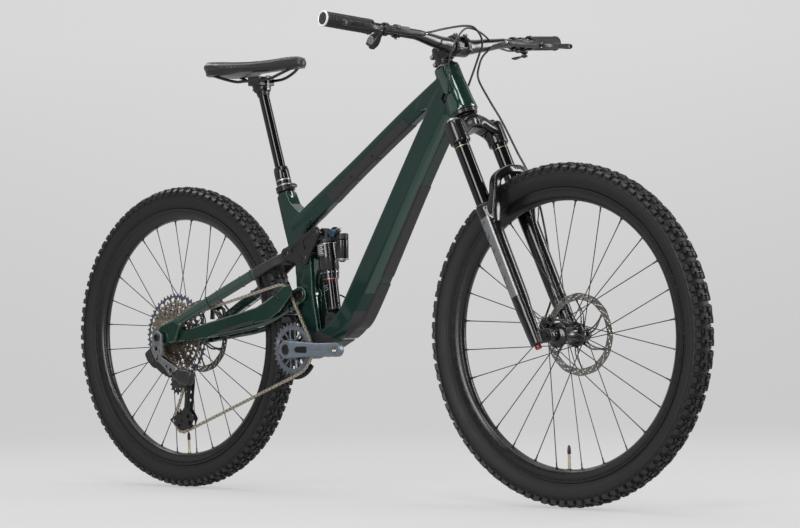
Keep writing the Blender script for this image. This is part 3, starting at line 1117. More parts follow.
TTU = Vector((-0.5502, 0, 0.8351))
DTC, TTC = Vector((0.1791, 0, 0.7384)), Vector((0.0200, 0, 0.7750))


def paint(c, n):
    d = (Vector(c) - DTC)
    f = d.dot(DTF)
    n = Vector(n)
    on_dt = abs(f) < 0.045 and c[2] > 0.47 and c[2] < 0.865 and c[0] > 0.0
    if on_dt:
        if abs(n.y) > 0.35 and n.dot(DTF) > 0.22 and f > 0.008:
            return 1
        return 0
    if (Vector(c) - A0).dot(N) > -0.012 and c[2] > 0.84:
        return 1
    if c[2] < 0.56 and abs(c[1]) < 0.0132 + 0.012 and c[0] < -0.02 and c[2] > 0.36 and abs(n.y) < 0.8:
        return 1
    t = Vector(c) - TTC
    if abs(t.dot(TTU)) < 0.03 and c[0] > -0.13 and n.dot(TTU) > 0.55:
        return 1
    if c[0] < -0.13 and c[2] > 0.57 and abs(n.y) < 0.75:
        return 1
    return 0


ob = piece("frame_skin", SKIN, PAINT, "frame", ["main_frame"], angle=45)
recolour(ob, [PAINT, PAINT_D], paint)
# charcoal guards down the front of the down tube and under the top tube
g1 = patch(SKIN, [(DTC + DTF * 0.0115, DTF), ((0.205, 0, 0.708), DTD), ((0.088, 0, 0.5050), -DTD)], 0.0001, 0.0012,
           lambda f: f.normal.dot(DTF) > 0.62)
piece("down_tube_guard_upper", g1, GUARD, "frame", angle=45)
g2 = patch(SKIN, [(DTC + DTF * 0.0115, DTF), ((0.0745, 0, 0.4900), DTD), ((-0.045, 0, 0.36), (1, 0, 0.20))], 0.0001, 0.0016,
           lambda f: abs(f.normal.y) < 0.72 or f.calc_center_median().z < 0.43)
piece("down_tube_guard_lower", g2, GUARD, "frame", angle=45)
g3 = patch(SKIN, [(Vector((-0.010, 0, 0.33)), (-1, 0, 0)), ((-0.12, 0, 0.35), (1, 0, 0.0)), ((-0.06, 0, 0.368), (-0.33, 0, -0.94))],
           0.0001, 0.0014)
piece("bottom_guard", g3, GUARD, "frame", angle=45)
g4 = patch(SKIN, [(TTC - TTU * 0.0010, -TTU), (TTC - TTD * 0.165, TTD), (TTC + TTD * 0.128, -TTD),
                  (TTC - TTU * 0.030, TTU)], 0.0001, 0.0009)
piece("top_tube_under_strip", g4, GUARD, "frame", angle=45)
b = B()
for q in (0.040, -0.040):
    p = TTC + TTD * (q + 0.005) - TTU * 0.0200
    b.cyl(p, p - TTU * 0.0032, 0.0052, 24, 0.0048)
for s in (-1, 1):
    for q in (0.045, -0.035):
        p = TTC + TTD * q - TTU * 0.0110 + Y * (s * 0.0185)
        nn = (Y * s * 0.9 - TTU * 0.45).normalized()
        b.cyl(p - nn * 0.004, p + nn * 0.0014, 0.0034, 18, 0.0030)
piece("accessory_bolts", b, ALLOY, "frame", bevel=0.0003)
# cable port plugs
b = B()
for s in (-1, 1):
    for q, (dx, dz) in enumerate(((0.0, 0.0), (-0.0035, -0.0085))):
        p = Vector((0.2890 + dx, s * 0.0180, 0.9040 + dz))
        b.tube([p, p + Vector((0.006, s * 0.004, 0.002)), p + Vector((0.012, s * 0.0065, 0.005))], [0.0034, 0.0034, 0.0028], 14, Z)
    b.plate([(0.2835, 0.9125), (0.2970, 0.9075), (0.2945, 0.8970), (0.2850, 0.8910), (0.2780, 0.9020)],
            *sorted((s * 0.0150, s * 0.0205)))
piece("cable_port_plugs", b, RUBBER, "frame", bevel=0.0004)
# frame hardware: pivot axle heads, shock bolt, lower shock bracket plates
b = B()
for s in (-1, 1):
    b.turn([(0.0, s * 0.0430), (0.0135, s * 0.0430), (0.0142, s * 0.0438), (0.0142, s * 0.0446), (0.0130, s * 0.0454),
            (0.0058, s * 0.0454), (0.0050, s * 0.0440), (0.0, s * 0.0440)][::s], MAIN, Y, 48)
piece("main_pivot_caps", b, ALLOY, "swingarm")
b = B()
for s in (-1, 1):
    y0, y1 = sorted((s * 0.0130, s * 0.0215))
    b.plate([(-0.0990, 0.3890), (-0.0600, 0.3930), (-0.0700, 0.4200), (-0.0800, 0.4285), (-0.0930, 0.4285), (-0.0985, 0.4160)], y0, y1)
    b.turn([(0.0, s * 0.0215), (0.0066, s * 0.0215), (0.0070, s * 0.0222), (0.0070, s * 0.0236), (0.0062, s * 0.0244),
            (0.0034, s * 0.0244), (0.0030, s * 0.0226), (0.0, s * 0.0226)][::s], EYE_L, Y, 32)
    b.ycyl((-0.0700, 0, 0.4010), 0.0042, *sorted((s * 0.0200, s * 0.0232)), 20)
b.ycyl(EYE_L, 0.0042, -0.0130, 0.0130, 24)
piece("shock_bracket", b, ALLOY_M, "frame", bevel=0.0007)
# headset, seat clamp
b = B()
b.turn([(0.0205, 0.5592), (0.0290, 0.5592), (0.0298, 0.5600), (0.0312, 0.5668), (0.0308, 0.5676), (0.0205, 0.5676)], A0, S, 72)
piece("headset_lower_shell", b, ALLOY, "frame", ["headset_lower_cup"])
b = B()
b.turn([(0.0160, 0.6813), (0.0282, 0.6813), (0.0284, 0.6822), (0.0270, 0.6838), (0.0262, 0.6842), (0.0235, 0.6872),
        (0.0218, 0.6888), (0.0160, 0.6888)], A0, S, 72)
piece("headset_upper_shell", b, ALLOY, "frame", ["headset_upper_cup"])
c0 = SEAT_C
SB = Vector((SEAT_D.z, 0, -SEAT_D.x))        # forwards, square to the post
b = B()
b.turn([(0.0164, 0.0010), (0.0216, 0.0010), (0.0226, 0.0018), (0.0226, 0.0060), (0.0218, 0.0068), (0.0218, 0.0084),
        (0.0226, 0.0092), (0.0226, 0.0140), (0.0218, 0.0150), (0.0164, 0.0150)], c0, SEAT_D, 72)
for h in (0.0078,):
    q = c0 + SB * 0.0262 + SEAT_D * h
    b.tube([q - SB * 0.0060, q - SB * 0.0010, q + SB * 0.0040], [(0.0090, 0.0064), (0.0088, 0.0062), (0.0070, 0.0056)], 24, Y, 4.0)
    b.cyl(q - Y * 0.0105, q + Y * 0.0105, 0.0044, 24)
piece("seat_collar", b, ALLOY, "frame", ["seat_clamp"], bevel=0.0004)

# ---------------------------------------------------------------- stays
CS_POLY = [(0.55, -1.0), (1.0, -0.62), (1.0, 0.55), (0.62, 1.0), (-0.62, 1.0), (-1.0, 0.55), (-1.0, -0.62), (-0.55, -1.0)]
bits = []
for s in (-1, 1):
    bits.append(one(lambda b: b.loft(poly_rings(
        [(-0.1600, s * 0.0370, 0.4700), (-0.2050, s * 0.0392, 0.4500), (-0.2700, s * 0.0425, 0.4180),
         (-0.3900, s * 0.0500, 0.3920), (-0.4800, s * 0.0650, 0.3800), (-0.5570, s * 0.0672, 0.3720)],
        [(0.0057, 0.0192), (0.0064, 0.0225), (0.0062, 0.0180), (0.0064, 0.0132), (0.0062, 0.0120), (0.0052, 0.0122)],
        CS_POLY))))
    bits.append(one(lambda b: b.ycyl(MAIN, 0.0194, *sorted((s * 0.0313, s * 0.0430)), 40)))
    bits.append(one(lambda b: b.ycyl(HORST, 0.0124, *sorted((s * 0.0618, s * 0.0725)), 36)))
bits.append(one(lambda b: b.tube([(-0.2100, -0.0400, 0.4340), (-0.2100, 0.0, 0.4330), (-0.2100, 0.0400, 0.4340)],
                                 [(0.0150, 0.0120), (0.0120, 0.0100), (0.0150, 0.0120)], 24, X, 2.8, smooth=4)))
cuts = [one(lambda b: b.ycyl(MAIN, 0.0171, -0.0309, 0.0309, 40)), one(lambda b: b.ycyl(HORST, 0.0050, -0.08, 0.08, 32))]
CHS = fuse(bits, 0.0015, 6, cuts, 0.5)
piece("chainstay_skin", CHS, PAINT_D, "swingarm", ["chainstay"], angle=45)
# slap guard along the top and the outer edge, right side
g = patch(CHS, [((0, -0.020, 0), (0, -1, 0)), ((-0.245, 0, 0), (-1, 0, 0)), ((-0.470, 0, 0), (1, 0, 0))], 0.0001, 0.0012,
          lambda f: f.normal.z > 0.42)
piece("chainstay_slap_guard", g, PLASTIC_G, "swingarm", angle=45)
g = patch(CHS, [((0, -0.020, 0), (0, -1, 0)), ((-0.300, 0, 0), (-1, 0, 0)), ((-0.420, 0, 0), (1, 0, 0))], 0.0001, 0.0012,
          lambda f: f.normal.z < -0.42)
piece("chainstay_lower_guard", g, GUARD, "swingarm", angle=45)
# side plate that carries and covers the idler, from the stay to the pivot
SIDE = [((-0.5580, 0.3660), (-0.5560, 0.3825), -0.0731), ((-0.5089, 0.3650), (-0.5020, 0.3930), -0.0730),
        ((-0.4500, 0.3715), (-0.4400, 0.4070), -0.0722), ((-0.4081, 0.3799), (-0.3900, 0.4170), -0.0704),
        ((-0.3300, 0.3975), (-0.3187, 0.4325), -0.0688), ((-0.2900, 0.4040), (-0.2800, 0.4415), -0.0680),
        ((-0.2380, 0.4125), (-0.2520, 0.4535), -0.0674), ((-0.2080, 0.4300), (-0.2240, 0.4680), -0.0672),
        ((-0.1760, 0.4580), (-0.1900, 0.4900), -0.0672), ((-0.1600, 0.4760), (-0.1690, 0.4940), -0.0672)]


def along_side(i0, i1, a, c, out, deep, ch):
    """A band on the right stay's outer face: a and c are its edges across the stay, from 0 below to 1 above."""
    rings = []
    for (x0, z0), (x1, z1), yo in SIDE[i0:i1]:
        p, q = Vector((x0, 0, z0)), Vector((x1, 0, z1))
        lo_, hi_ = p.lerp(q, a), p.lerp(q, c)
        e = (hi_ - lo_).normalized()
        y = yo - out
        rings.append([lo_ + Y * (y + deep), lo_ + Y * (y + ch), lo_ + e * ch * 1.4 + Y * y, hi_ - e * ch * 1.4 + Y * y, hi_ + Y * (y + ch), hi_ + Y * (y + deep)])
    return rings


b = B()
b.loft(along_side(0, 10, 0.0, 1.0, 0.0, 0.0036, 0.0013))
piece("idler_side_plate", b, PAINT_D, "swingarm", angle=30)
b = B()
b.loft(along_side(3, 6, -0.03, 0.20, 0.0009, 0.0030, 0.0006))
piece("stay_lower_pad", b, GUARD, "swingarm", angle=30)
b = B()
b.loft(along_side(1, 8, 0.955, 1.03, 0.0005, 0.0030, 0.0004))
piece("stay_upper_edge", b, PANEL, "swingarm", angle=30)
b = B()
b.turn([(0.0, -0.0672), (0.0062, -0.0672), (0.0066, -0.0678), (0.0066, -0.0688), (0.0058, -0.0694), (0.0032, -0.0694), (0.0028, -0.0680), (0.0, -0.0680)][::-1],
       Vector((IDLER.x, 0, IDLER.z)), Y, 36)
b.ycyl(Vector((IDLER.x, 0, IDLER.z)), 0.0050, -0.0645, -0.0580, 24)
for x, z in ((-0.3300, 0.4130), (-0.2700, 0.4270)):
    b.ycyl((x, 0, z), 0.0048, -0.0645, -0.0470, 20)
piece("idler_plate_bolts", b, ALLOY, "swingarm")
b = B()
for s in (-1, 1):
    b.turn([(0.0, s * 0.0722), (0.0088, s * 0.0722), (0.0092, s * 0.0727), (0.0092, s * 0.0731), (0.0084, s * 0.0736),
            (0.0040, s * 0.0736), (0.0036, s * 0.0728), (0.0, s * 0.0728)][::s], HORST, Y, 36)
piece("horst_caps", b, ALLOY, "swingarm")
bits = []
SSP = lambda s: [(-0.2106, s * 0.0258, 0.5677), (-0.2330, s * 0.0258, 0.5583), (-0.2630, s * 0.0340, 0.5450),
                 (-0.3050, s * 0.0425, 0.5240), (-0.3900, s * 0.0580, 0.4830), (-0.4700, s * 0.0665, 0.4460),
                 (-0.5500, s * 0.0765, 0.4080), (-0.5950, s * 0.0785, 0.3880)]
SSS = [(0.0032, 0.0115), (0.0036, 0.0115), (0.0052, 0.0118), (0.0066, 0.0128), (0.0070, 0.0130), (0.0066, 0.0126),
       (0.0050, 0.0120), (0.0045, 0.0120)]
for s in (-1, 1):
    bits.append(one(lambda b: b.loft(poly_rings(SSP(s), SSS, CS_POLY))))
    bits.append(one(lambda b: b.ycyl(RS, 0.0128, *sorted((s * 0.0226, s * 0.0296)), 36)))
    bits.append(one(lambda b: b.plate([xz(Vector(p)) for p in
                                       [(REAR.x - 0.0185, 0, REAR.z + 0.004), (REAR.x - 0.0100, 0, REAR.z - 0.0150),
                                        (REAR.x + 0.0060, 0, REAR.z - 0.0172), (HORST.x + 0.0060, 0, HORST.z - 0.0120),
                                        (HORST.x + 0.0140, 0, HORST.z + 0.0020), (-0.5300, 0, 0.4020), (-0.5500, 0, 0.4160),
                                        (-0.6020, 0, 0.4000)]], *sorted((s * 0.0741, s * 0.0832)))))
    bits.append(one(lambda b: b.ycyl(HORST, 0.0048, *sorted((s * 0.0600, s * 0.0760)), 24)))
bits.append(one(lambda b: b.tube([(-0.2560, -0.0340, 0.5500), (-0.2560, 0.0340, 0.5500)], (0.0070, 0.0075), 24, X, 2.6)))
cuts = [one(lambda b: b.ycyl(REAR, 0.0064, -0.09, 0.09, 32)), one(lambda b: b.ycyl(RS, 0.0062, -0.05, 0.05, 32))]
STS = fuse(bits, 0.0015, 6, cuts, 0.5)
ob = piece("seatstay_skin", STS, PAINT_D, "rear_stays", ["seatstay"], angle=45)
recolour(ob, [PAINT_D, GUARD], lambda c, n: 1 if c[0] > -0.3050 - 0.10 * (c[2] - 0.52) else 0)
# clear film edges: two thin bands across each stay
b = B()
for s in (-1, 1):
    for (x0, y0, z0), w in (((-0.4300, 0.0624, 0.4645), 0.0149), ((-0.3300, 0.0470, 0.5120), 0.0152)):
        t = Vector((-0.895, s * 0.13, -0.43)).normalized()
        for dd in (-0.017, 0.017):
            c = Vector((x0, s * y0, z0)) + t * dd
            u = (Y - t * Y.dot(t)).normalized()
            v = t.cross(u)
            r0 = [c + u * (a * 0.0079) + v * (q * 0.0139) for a, q in CS_POLY]
            r1 = [p + t * 0.0006 for p in r0]
            b.loft([r0, r1])
piece("stay_film_edges", b, GUARD, "rear_stays")
b = B()
b.ycyl(REAR, 0.0060, -0.0905, 0.0840, 32)
b.turn([(0.0, 0.0834), (0.0100, 0.0834), (0.0104, 0.0840), (0.0104, 0.0856), (0.0096, 0.0863), (0.0042, 0.0863),
        (0.0038, 0.0846), (0.0, 0.0846)], REAR, Y, 40)
piece("rear_thru_axle", b, ALLOY, "rear_stays", ["rear_axle"])


# ---------------------------------------------------------------- rocker and shock
def bolt_head(b, c, r, y0, s, deep=0.0022, sock=0.0034):
    """Low round head with a hexagon socket look, facing +s along Y."""
    b.turn([(0.0, y0), (r - 0.0006, y0), (r, y0 + s * 0.0006), (r, y0 + s * deep * 0.7), (r - 0.0010, y0 + s * deep),
            (sock, y0 + s * deep), (sock * 0.92, y0 + s * deep * 0.25), (0.0, y0 + s * deep * 0.25)][::int(s)], c, Y, 40)


b = B()
for s in (-1, 1):
    ya, yb = sorted((s * 0.0302, s * 0.0366))
    link(b, ROCK, 0.0165, RS, 0.0142, ya, yb, (), 44)
    link(b, ROCK, 0.0150, EYE_U, 0.0142, ya, yb, (), 44)
    b.plate([(-0.2130, 0.5815), (-0.1160, 0.6285), (-0.1040, 0.6150), (-0.1420, 0.5560), (-0.1550, 0.5450)],
            *sorted((s * 0.0302, s * 0.0350)))
ROCKM = b.mesh()
cuts = []
for s in (-1, 1):
    y0, y1 = sorted((s * 0.0338, s * 0.0450))
    # machined pockets in the outer faces
    cuts.append(one(lambda b: b.plate([(-0.1920, 0.5800), (-0.1640, 0.5935), (-0.1560, 0.5780), (-0.1720, 0.5700), (-0.1900, 0.5700)], y0, y1)))
    cuts.append(one(lambda b: b.plate([(-0.1540, 0.5980), (-0.1310, 0.6090), (-0.1240, 0.6010), (-0.1370, 0.5790), (-0.1480, 0.5760)], y0, y1)))
    cuts.append(one(lambda b: b.ycyl(ROCK, 0.0108, *sorted((s * 0.0352, s * 0.0450)), 40)))
    cuts.append(one(lambda b: b.ycyl(RS, 0.0102, *sorted((s * 0.0352, s * 0.0450)), 40)))
    cuts.append(one(lambda b: b.ycyl(EYE_U, 0.0100, *sorted((s * 0.0352, s * 0.0450)), 40)))
me = fuse([ROCKM], 0.0009, 5, cuts, 0.5)
piece("rocker_forging", me, ALLOY_M, "rocker", ["rocker_link"], angle=42)
b = B()
b.ycyl(EYE_U, 0.0040, -0.0350, 0.0350, 24)
for s in (-1, 1):
    for c, r in ((ROCK, 0.0100), (RS, 0.0096), (EYE_U, 0.0092)):
        bolt_head(b, c, r, s * 0.0350, s, 0.0022, 0.0036)
    b.ycyl(RS, 0.0040, *sorted((s * 0.0225, s * 0.0350)), 24)
piece("rocker_bolts", b, ALLOY, "rocker")

t_at = lambda t, f=0.0, y=0.0: EYE_U + SHOCK * t + FR * f + Y * y
LS = (EYE_L - EYE_U).length
# head: eye, neck and bridge to the reservoir
bits = [one(lambda b: b.ycyl(EYE_U, 0.0108, -0.0112, 0.0112, 40, 0.0010)),
        one(lambda b: b.tube([t_at(-0.0020), t_at(0.0080), t_at(0.0190)], [(0.0105, 0.0112), (0.0125, 0.0150), (0.0190, 0.0215)], 32, Y, 2.6)),
        one(lambda b: b.cyl(t_at(0.0150), t_at(0.0260), 0.0232, 56, None, 0.0014)),
        one(lambda b: b.tube([t_at(0.0130, 0.0040), t_at(0.0150, 0.0250), t_at(0.0190, 0.0480)],
                             [(0.0100, 0.0110), (0.0095, 0.0095), (0.0110, 0.0085)], 28, Y, 3.0)),
        one(lambda b: b.cyl(t_at(0.0110, 0.0525), t_at(0.0260, 0.0513), 0.0152, 48, None, 0.0016))]
me = fuse(bits, 0.0010, 8, [one(lambda b: b.ycyl(EYE_U, 0.0066, -0.03, 0.03, 32))], 0.5)
piece("shock_head", me, ALLOY_M, "shock_upper", ["shock_air_can"], angle=45)
b = B()
b.turn([(0.0185, 0.0262), (0.0232, 0.0262), (0.0236, 0.0268), (0.0236, 0.0560), (0.0238, 0.0566), (0.0238, 0.0600),
        (0.0236, 0.0606), (0.0236, 0.0880), (0.0230, 0.0890), (0.0218, 0.0896), (0.0216, 0.0910), (0.0222, 0.0916),
        (0.0222, 0.0990), (0.0216, 0.0996), (0.0210, 0.1000), (0.0206, 0.1095), (0.0198, 0.1102), (0.0172, 0.1102)],
       EYE_U, SHOCK, 80)
piece("shock_can", b, GLOSS, "shock_upper")
b = B()
# ring of wrench flats and the pale dots at the can's neck
for k in range(14):
    t = 2 * math.pi * k / 14
    e = FR * math.cos(t) + Y * math.sin(t)
    b.cyl(t_at(0.0953) + e * 0.0216, t_at(0.0953) + e * 0.0228, 0.0017, 12, 0.0015)
b.turn([(0.0172, 0.1103), (0.0196, 0.1103), (0.0196, 0.1110), (0.0172, 0.1110)], EYE_U, SHOCK, 56)
b.turn([(0.0236, 0.0268), (0.0240, 0.0270), (0.0240, 0.0278), (0.0236, 0.0280)], EYE_U, SHOCK, 72)
piece("shock_can_trim", b, GREY, "shock_upper")
# pale label field on the can, without words: plain bars
b = B()


def can_patch(b, r, t0, t1, a0, a1, th=0.00025, m=10):
    rings = []
    for k in range(m + 1):
        a = a0 + (a1 - a0) * k / m
        e = FR * math.cos(a) + Y * math.sin(a)
        rings.append([t_at(t0) + e * (r - 0.0004), t_at(t0) + e * (r + th), t_at(t1) + e * (r + th), t_at(t1) + e * (r - 0.0004)])
    b.loft(rings)


for q in range(5):
    can_patch(b, 0.02362, 0.0300 + q * 0.0046, 0.0330 + q * 0.0046, -2.05, -1.20 - 0.10 * (q % 2))
can_patch(b, 0.02362, 0.0285, 0.0291, -2.15, -1.00)
can_patch(b, 0.02362, 0.0540, 0.0546, -2.15, -1.00)
piece("shock_label_bars", b, DECAL, "shock_upper")
# reservoir: dark can, grey upper collar and bottom ring
ra, rb = t_at(0.0250, 0.0515), t_at(0.0735, 0.0440)
rd = (rb - ra).normalized()
b = B()
b.tube([ra, ra + rd * 0.0010, rb - rd * 0.0062, rb - rd * 0.0050], [0.0138, 0.0149, 0.0149, 0.0144], 56, Y)
piece("shock_reservoir", b, GLOSS, "shock_upper")
b = B()
b.tube([rb - rd * 0.0056, rb - rd * 0.0050, rb - rd * 0.0022, rb - rd * 0.0014], [0.0140, 0.0152, 0.0152, 0.0144], 56, Y)
b.cyl(rb - rd * 0.0016, rb + rd * 0.0014, 0.0096, 36, 0.0088)
piece("shock_reservoir_ring", b, GREY, "shock_upper", bevel=0.0002)
b = B()
b.tube([rb + rd * 0.0010, rb + rd * 0.0030, rb + rd * 0.0036], [0.0062, 0.0060, 0.0050], 28, Y)
piece("shock_reservoir_plug", b, PLASTIC, "shock_upper")
# damper body, seals, o-ring, travel marks and lower eye
b = B()
b.cyl(t_at(0.0880), t_at(LS - 0.0230), 0.0165, 64)
piece("shock_damper_body", b, STANCH, "shock_lower", ["shock_shaft"])
b = B()
b.turn([(0.0150, 0.1128), (0.0172, 0.1128), (0.0182, 0.1136), (0.0182, 0.1146), (0.0172, 0.1154), (0.0150, 0.1154)],
       EYE_U, SHOCK, 56)
piece("shock_o_ring", b, RED, "shock_lower")
b = B()
for q in range(3):
    rings = []
    t0 = 0.1255 + q * 0.0050
    for k in range(9):
        a = -2.2 + 0.85 * k / 8
        e = FR * math.cos(a) + Y * math.sin(a)
        rings.append([t_at(t0) + e * 0.0163, t_at(t0) + e * 0.01665, t_at(t0 + 0.0009) + e * 0.01665, t_at(t0 + 0.0009) + e * 0.0163])
    b.loft(rings)
piece("shock_travel_marks", b, DECAL, "shock_lower")
bits = [one(lambda b: b.cyl(t_at(LS - 0.0235), t_at(LS - 0.0150), 0.0172, 56, None, 0.0010)),
        one(lambda b: b.tube([t_at(LS - 0.0165), t_at(LS - 0.0080), t_at(LS)], [(0.0150, 0.0150), (0.0115, 0.0110), (0.0112, 0.0098)], 32, Y, 2.4)),
        one(lambda b: b.ycyl(EYE_L, 0.0101, -0.0119, 0.0119, 40, 0.0008))]
me = fuse(bits, 0.0009, 8, [one(lambda b: b.ycyl(EYE_L, 0.0046, -0.03, 0.03, 32))], 0.5)
piece("shock_lower_eye", me, ALLOY, "shock_lower", angle=45)
# rebound wheel and lock lever on the head
h = t_at(0.0085, 0.0400)
b = B()
b.turn([(0.0, -0.0105), (0.0066, -0.0105), (0.0074, -0.0112), (0.0074, -0.0130), (0.0080, -0.0136), (0.0080, -0.0200),
        (0.0072, -0.0208), (0.0030, -0.0208), (0.0026, -0.0196), (0.0, -0.0196)][::-1], (h.x, 0, h.z), Y, 48)
for k in range(18):
    t = 2 * math.pi * k / 18
    e = Vector((math.cos(t), 0, math.sin(t)))
    b.block(Vector((h.x, -0.0168, h.z)) + e * 0.0079, 0.0005, 0.0028, 0.0006, e, Vector((-e.z, 0, e.x)))
piece("shock_dial", b, BLUE, "shock_switch", ["shock_lever"])
ld = (FR + Z * 0.15).normalized()
lu = (Z - ld * Z.dot(ld)).normalized()
b = B()
b.tube([h - Y * 0.0145 + ld * 0.0040 + lu * 0.0034, h - Y * 0.0150 + ld * 0.0110 + lu * 0.0048,
        h - Y * 0.0155 + ld * 0.0210 + lu * 0.0046, h - Y * 0.0160 + ld * 0.0262 + lu * 0.0040],
       [(0.0048, 0.0032), (0.0046, 0.0022), (0.0050, 0.0019), (0.0042, 0.0012)], 20, Y, 3.5, smooth=4)
piece("shock_lever_blade", b, GREY, "shock_switch", bevel=0.0002)
b = B()
b.tube([h - Y * 0.0145 + ld * 0.0040 - lu * 0.0020, h - Y * 0.0150 + ld * 0.0120 - lu * 0.0022,
        h - Y * 0.0155 + ld * 0.0225 - lu * 0.0010], [(0.0046, 0.0028), (0.0044, 0.0026), (0.0038, 0.0018)], 20, Y, 3.5, smooth=4)
piece("shock_lever_lower", b, PLASTIC, "shock_switch", bevel=0.0002)

# ---------------------------------------------------------------- fork
LF, LY, SR = 0.0110, 0.0655, 0.0175
bits = [one(lambda b: b.tube([steer(0.5075, LF, -LY), steer(0.5200, LF, -0.046), steer(0.5330, 0.010, -0.022), steer(0.5365, 0.008, 0.0),
                              steer(0.5330, 0.010, 0.022), steer(0.5200, LF, 0.046), steer(0.5075, LF, LY)],
                             [(0.0220, 0.0205), (0.0200, 0.0170), (0.0215, 0.0170), (0.0255, 0.0185), (0.0215, 0.0170),
                              (0.0200, 0.0170), (0.0220, 0.0205)], 40, N, 3.0, smooth=5)),
        one(lambda b: b.tube([steer(0.5230), steer(0.5420), steer(0.5520), steer(0.5582)], [0.0300, 0.0262, 0.0248, 0.0252], 48, Y))]
for s in (-1, 1):
    bits.append(one(lambda b: b.tube([steer(0.4815, LF, s * LY), steer(0.4830, LF, s * LY), steer(0.5250, LF, s * LY), steer(0.5335, LF, s * LY),
                                      steer(0.5345, LF, s * LY)], [0.0222, 0.0232, 0.0232, 0.0226, 0.0216], 48, Y)))
cuts = []
for s in (-1, 1):
    # sculpted relief under each shoulder
    cuts.append(one(lambda b: b.tube([steer(0.4900, LF, s * 0.030), steer(0.5120, LF, s * 0.030)], [(0.0150, 0.0150), (0.0120, 0.0100)], 28, N, 2.6)))
    cuts.append(one(lambda b: b.cyl(steer(0.5325, LF, s * LY), steer(0.5500, LF, s * LY), 0.0180, 40)))
me = fuse(bits, 0.0016, 12, cuts, 0.5)
piece("fork_crown", me, GLOSS, "steering", ["fork_crown_stanchions"], angle=40)
b = B()
b.cyl(steer(0.5500), steer(0.7285), 0.01425, 48)
for s in (-1, 1):
    b.cyl(steer(0.2850, LF, s * LY), steer(0.4820, LF, s * LY), SR, 72)
piece("fork_stanchions", b, STANCH, "steering")
b = B()
for s in (-1, 1):
    b.turn([(SR - 0.0003, 0.4708), (SR + 0.00018, 0.4709), (SR + 0.00018, 0.4719), (SR - 0.0003, 0.4720)], steer(0, LF, s * LY), S, 64)
piece("stanchion_rings", b, GOLD, "steering")
# top caps: air cap on the left, damper surround on the right, knurled
b = B()
for s in (-1, 1):
    b.turn([(0.0, 0.5320), (0.0172, 0.5320), (0.0172, 0.5344), (0.0162, 0.5356), (0.0125, 0.5360), (0.0, 0.5360)],
           steer(0, LF, s * LY), S, 56)
    for k in range(20):
        t = 2 * math.pi * k / 20
        e = N * math.cos(t) + Y * math.sin(t)
        b.block(steer(0.5352, LF, s * LY) + e * 0.0146, 0.0010, 0.0008, 0.0007, e, S)
b.tube([steer(0.5355, LF, LY), steer(0.5420, LF, LY), steer(0.5428, LF, LY)], [0.0115, 0.0108, 0.0098], 40, Y)
piece("fork_top_caps", b, ALLOY, "steering", bevel=0.0002)
b = B()
b.turn([(0.0, 0.5362), (0.0116, 0.5362), (0.0120, 0.5368), (0.0120, 0.5400), (0.0112, 0.5408), (0.0048, 0.5410), (0.0044, 0.5402), (0.0, 0.5402)],
       steer(0, LF, -LY), S, 56)
for k in range(24):
    t = 2 * math.pi * k / 24
    e = N * math.cos(t) + Y * math.sin(t)
    b.block(steer(0.5385, LF, -LY) + e * 0.0119, 0.0005, 0.0007, 0.0017, e, S)
piece("compression_dial", b, GREY, "compression_knob", ["fork_compression_knob"])
lo_pts = lambda s: [steer(0.3250, LF, s * LY), steer(0.3180, LF, s * LY), steer(0.3040, LF, s * LY), steer(0.2000, LF, s * LY),
                    steer(0.1100, LF, s * LY), steer(0.0750, LF, s * 0.0675), steer(0.0300, LF, s * 0.0678),
                    steer(-0.0020, LF, s * 0.0680), steer(-0.0075, LF, s * 0.0680)]
lo_sz = [(0.0212, 0.0212), (0.0218, 0.0218), (0.0206, 0.0206), (0.0197, 0.0197), (0.0190, 0.0190), (0.0162, 0.0182),
         (0.0138, 0.0165), (0.0124, 0.0150), (0.0112, 0.0138)]
bits = []
for s in (-1, 1):
    bits.append(one(lambda b: b.tube(lo_pts(s), lo_sz, 44, Y, 2.1, smooth=4)))
    bits.append(one(lambda b: link(b, steer(0.012, LF), 0.0150, FRONT, 0.0152, *sorted((s * 0.0570, s * 0.0700)), (), 40)))
    # upright gusset from the leg's front to the arch
    bits.append(one(lambda b: b.tube([steer(0.2780, 0.0240, s * 0.0655), steer(0.3050, 0.0280, s * 0.0660), steer(0.3370, 0.0480, s * 0.0645),
                                      steer(0.3720, 0.0560, s * 0.0520), steer(0.3850, 0.0700, s * 0.0250), steer(0.3870, 0.0720, 0.0)],
                                     [(0.0060, 0.0090), (0.0130, 0.0150), (0.0110, 0.0135), (0.0108, 0.0108), (0.0100, 0.0104),
                                      (0.0098, 0.0102)], 28, N, 4.2, smooth=5)))
cuts = [one(lambda b: b.cyl(steer(0.4200, LF, s * LY), steer(0.1400, LF, s * LY), 0.0182, 48)) for s in (-1, 1)]
cuts.append(one(lambda b: b.ycyl(FRONT, 0.0079, -0.09, 0.09, 40)))
cuts.append(one(lambda b: b.tube([steer(0.3775, 0.0640, -0.0300), steer(0.3805, 0.0640, 0.0), steer(0.3775, 0.0640, 0.0300)],
                                 [(0.0050, 0.0042), (0.0060, 0.0048), (0.0050, 0.0042)], 24, N, 3.0, smooth=3)))
LOW = fuse(bits, 0.0015, 18, cuts, 0.5)
piece("fork_lower_legs", LOW, GLOSS, "fork_sliders", ["fork_lowers"], angle=42)
